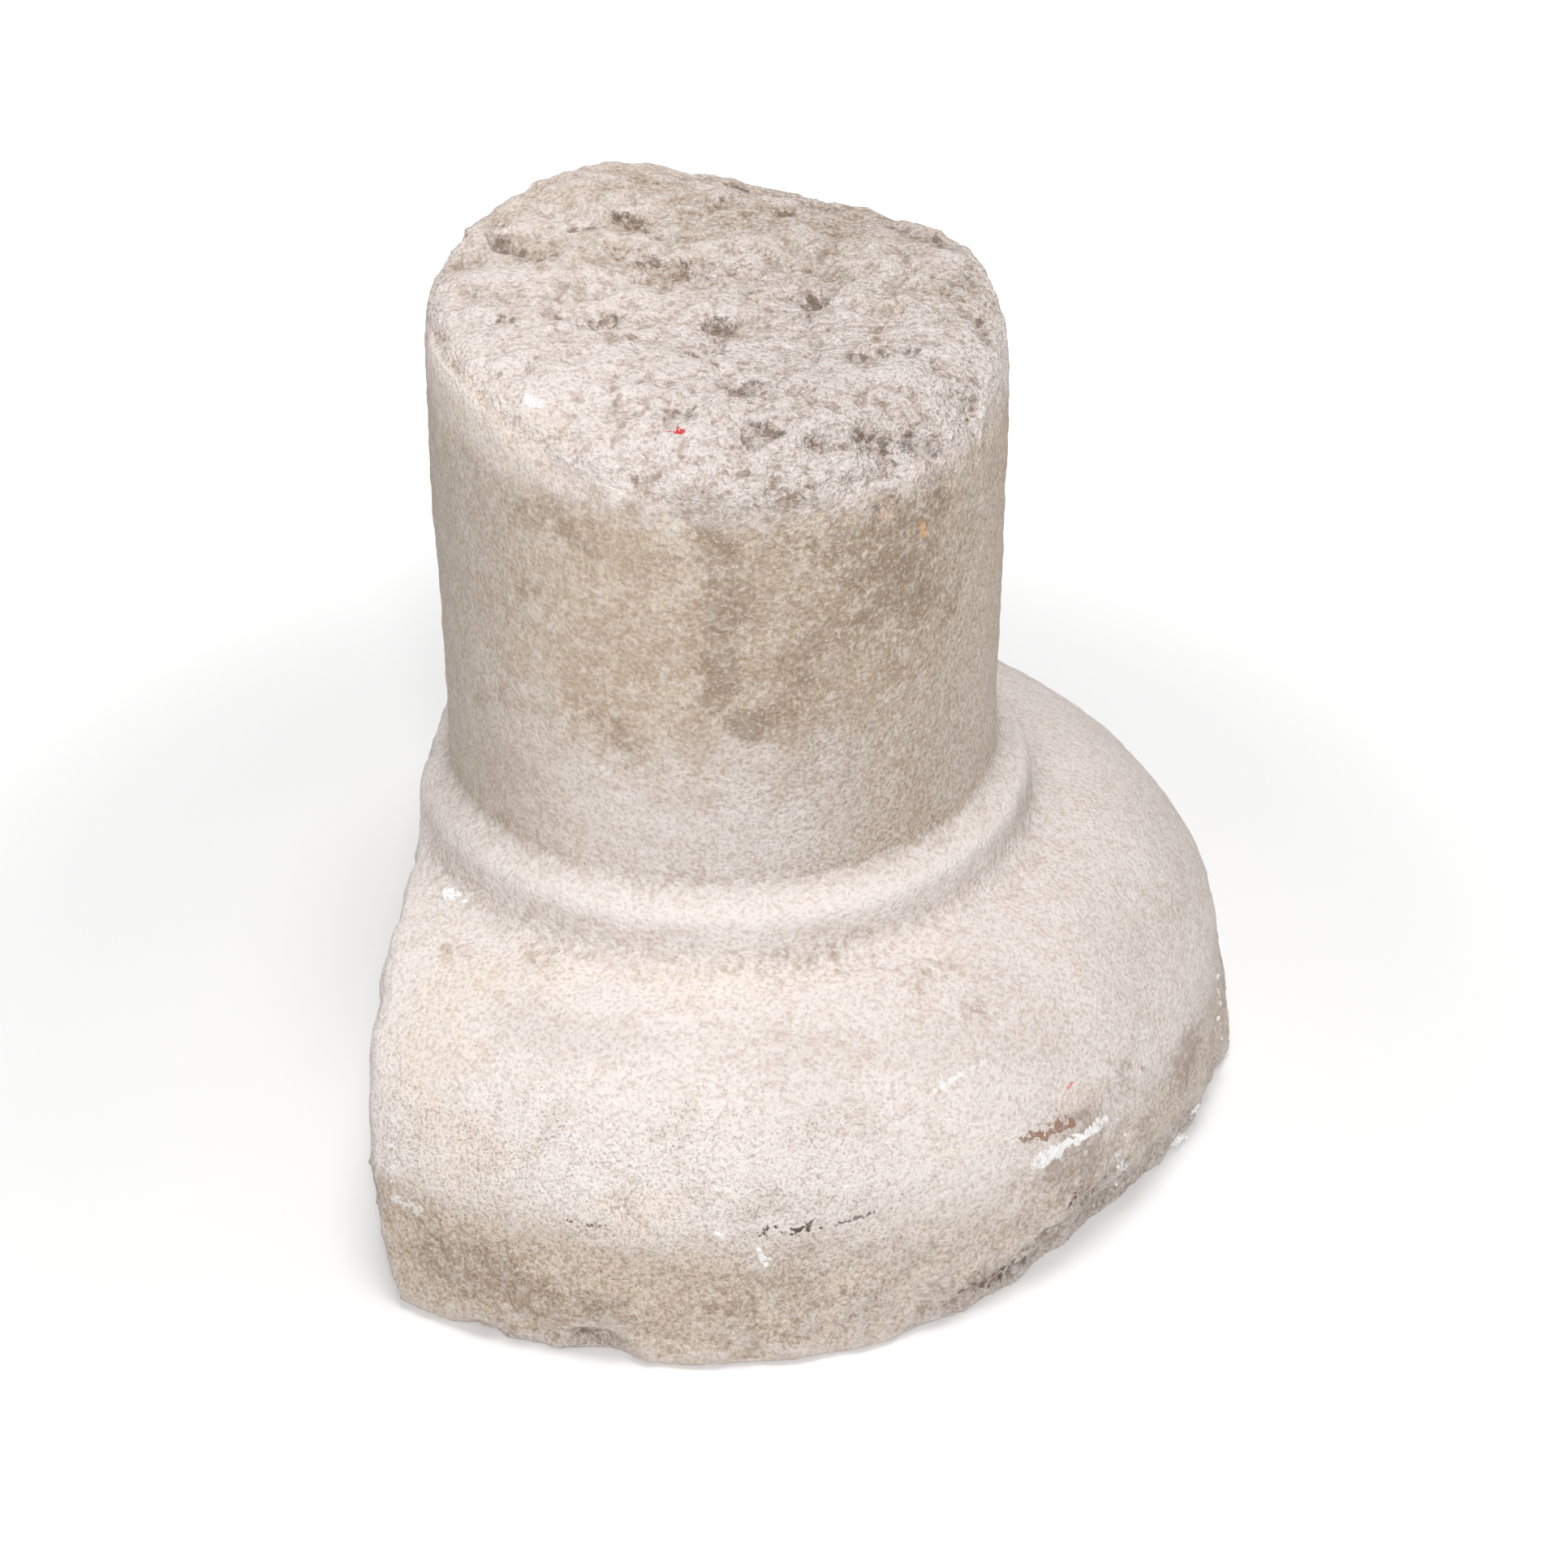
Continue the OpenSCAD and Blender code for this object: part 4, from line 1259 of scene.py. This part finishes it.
def add_camera(lens):
    """Camera a little over a metre off, looking down on the front."""
    camera = bpy.data.cameras.new("camera")
    camera.lens = lens
    camera.sensor_fit = "HORIZONTAL"
    camera.sensor_width = CAMERA_SENSOR
    camera.clip_start, camera.clip_end = CAMERA_REACH
    holder = add_object("camera", camera)
    holder.location = CAMERA_PLACE
    holder.rotation_euler = (math.radians(90.0 - CAMERA_PITCH), 0.0, 0.0)
    bpy.context.scene.camera = holder


class COLUMN_OT_stone(bpy.types.Operator):
    """Carve the weathered stone over its CAD solid"""

    bl_idname = "column.stone"
    bl_label = "Carve Stone"

    def execute(self, context):
        carve_stone(context)
        return {"FINISHED"}


class COLUMN_OT_crumbs(bpy.types.Operator):
    """Set the crumbs of lime and paint on the stone"""

    bl_idname = "column.crumbs"
    bl_label = "Scatter Crumbs"

    def execute(self, context):
        scatter_crumbs(context)
        return {"FINISHED"}


class COLUMN_OT_stage(bpy.types.Operator):
    """Set up the floor, the lamps and the camera"""

    bl_idname = "column.stage"
    bl_label = "Set Stage"

    def execute(self, context):
        stage = context.scene.column_stage
        add_floor(context.scene.column_colours.floor)
        add_sky(stage.sky)
        centre = (CAD_BOX[0] + CAD_BOX[1]) / 2
        add_lamp("top lamp", TOP_LAMP_PLACE, centre, TOP_LAMP_SIZE, stage.top_power)
        add_lamp("front lamp", FRONT_LAMP_PLACE, centre, FRONT_LAMP_SIZE, stage.front_power)
        add_camera(stage.lens)
        context.scene.view_settings.view_transform = "Standard"
        return {"FINISHED"}


class COLUMN_PT_panel(bpy.types.Panel):
    """Lists the steps that build the column base, and its settings"""

    bl_idname = "COLUMN_PT_panel"
    bl_label = "Column Base"
    bl_space_type = "VIEW_3D"
    bl_region_type = "UI"
    bl_category = "Column Base"

    def draw(self, context):
        for operator in OPERATORS:
            self.layout.operator(operator.bl_idname)
        for name, settings in SETTINGS.items():
            box = self.layout.box()
            for key in settings.__annotations__:
                box.prop(getattr(context.scene, name), key)


SETTINGS = {
    "column_form": ColumnForm,
    "column_relief": ColumnRelief,
    "column_colours": ColumnColours,
    "column_stage": ColumnStage,
}
OPERATORS = (COLUMN_OT_stone, COLUMN_OT_crumbs, COLUMN_OT_stage)


def register():
    for cls in (*SETTINGS.values(), *OPERATORS, COLUMN_PT_panel):
        bpy.utils.register_class(cls)
    for name, cls in SETTINGS.items():
        setattr(bpy.types.Scene, name, PointerProperty(type=cls))


def unregister():
    for name in SETTINGS:
        delattr(bpy.types.Scene, name)
    for cls in reversed((*SETTINGS.values(), *OPERATORS, COLUMN_PT_panel)):
        bpy.utils.unregister_class(cls)


def main():
    register()
    bpy.ops.column.stone()
    bpy.ops.column.crumbs()
    bpy.ops.column.stage()


if __name__ == "__main__":
    main()
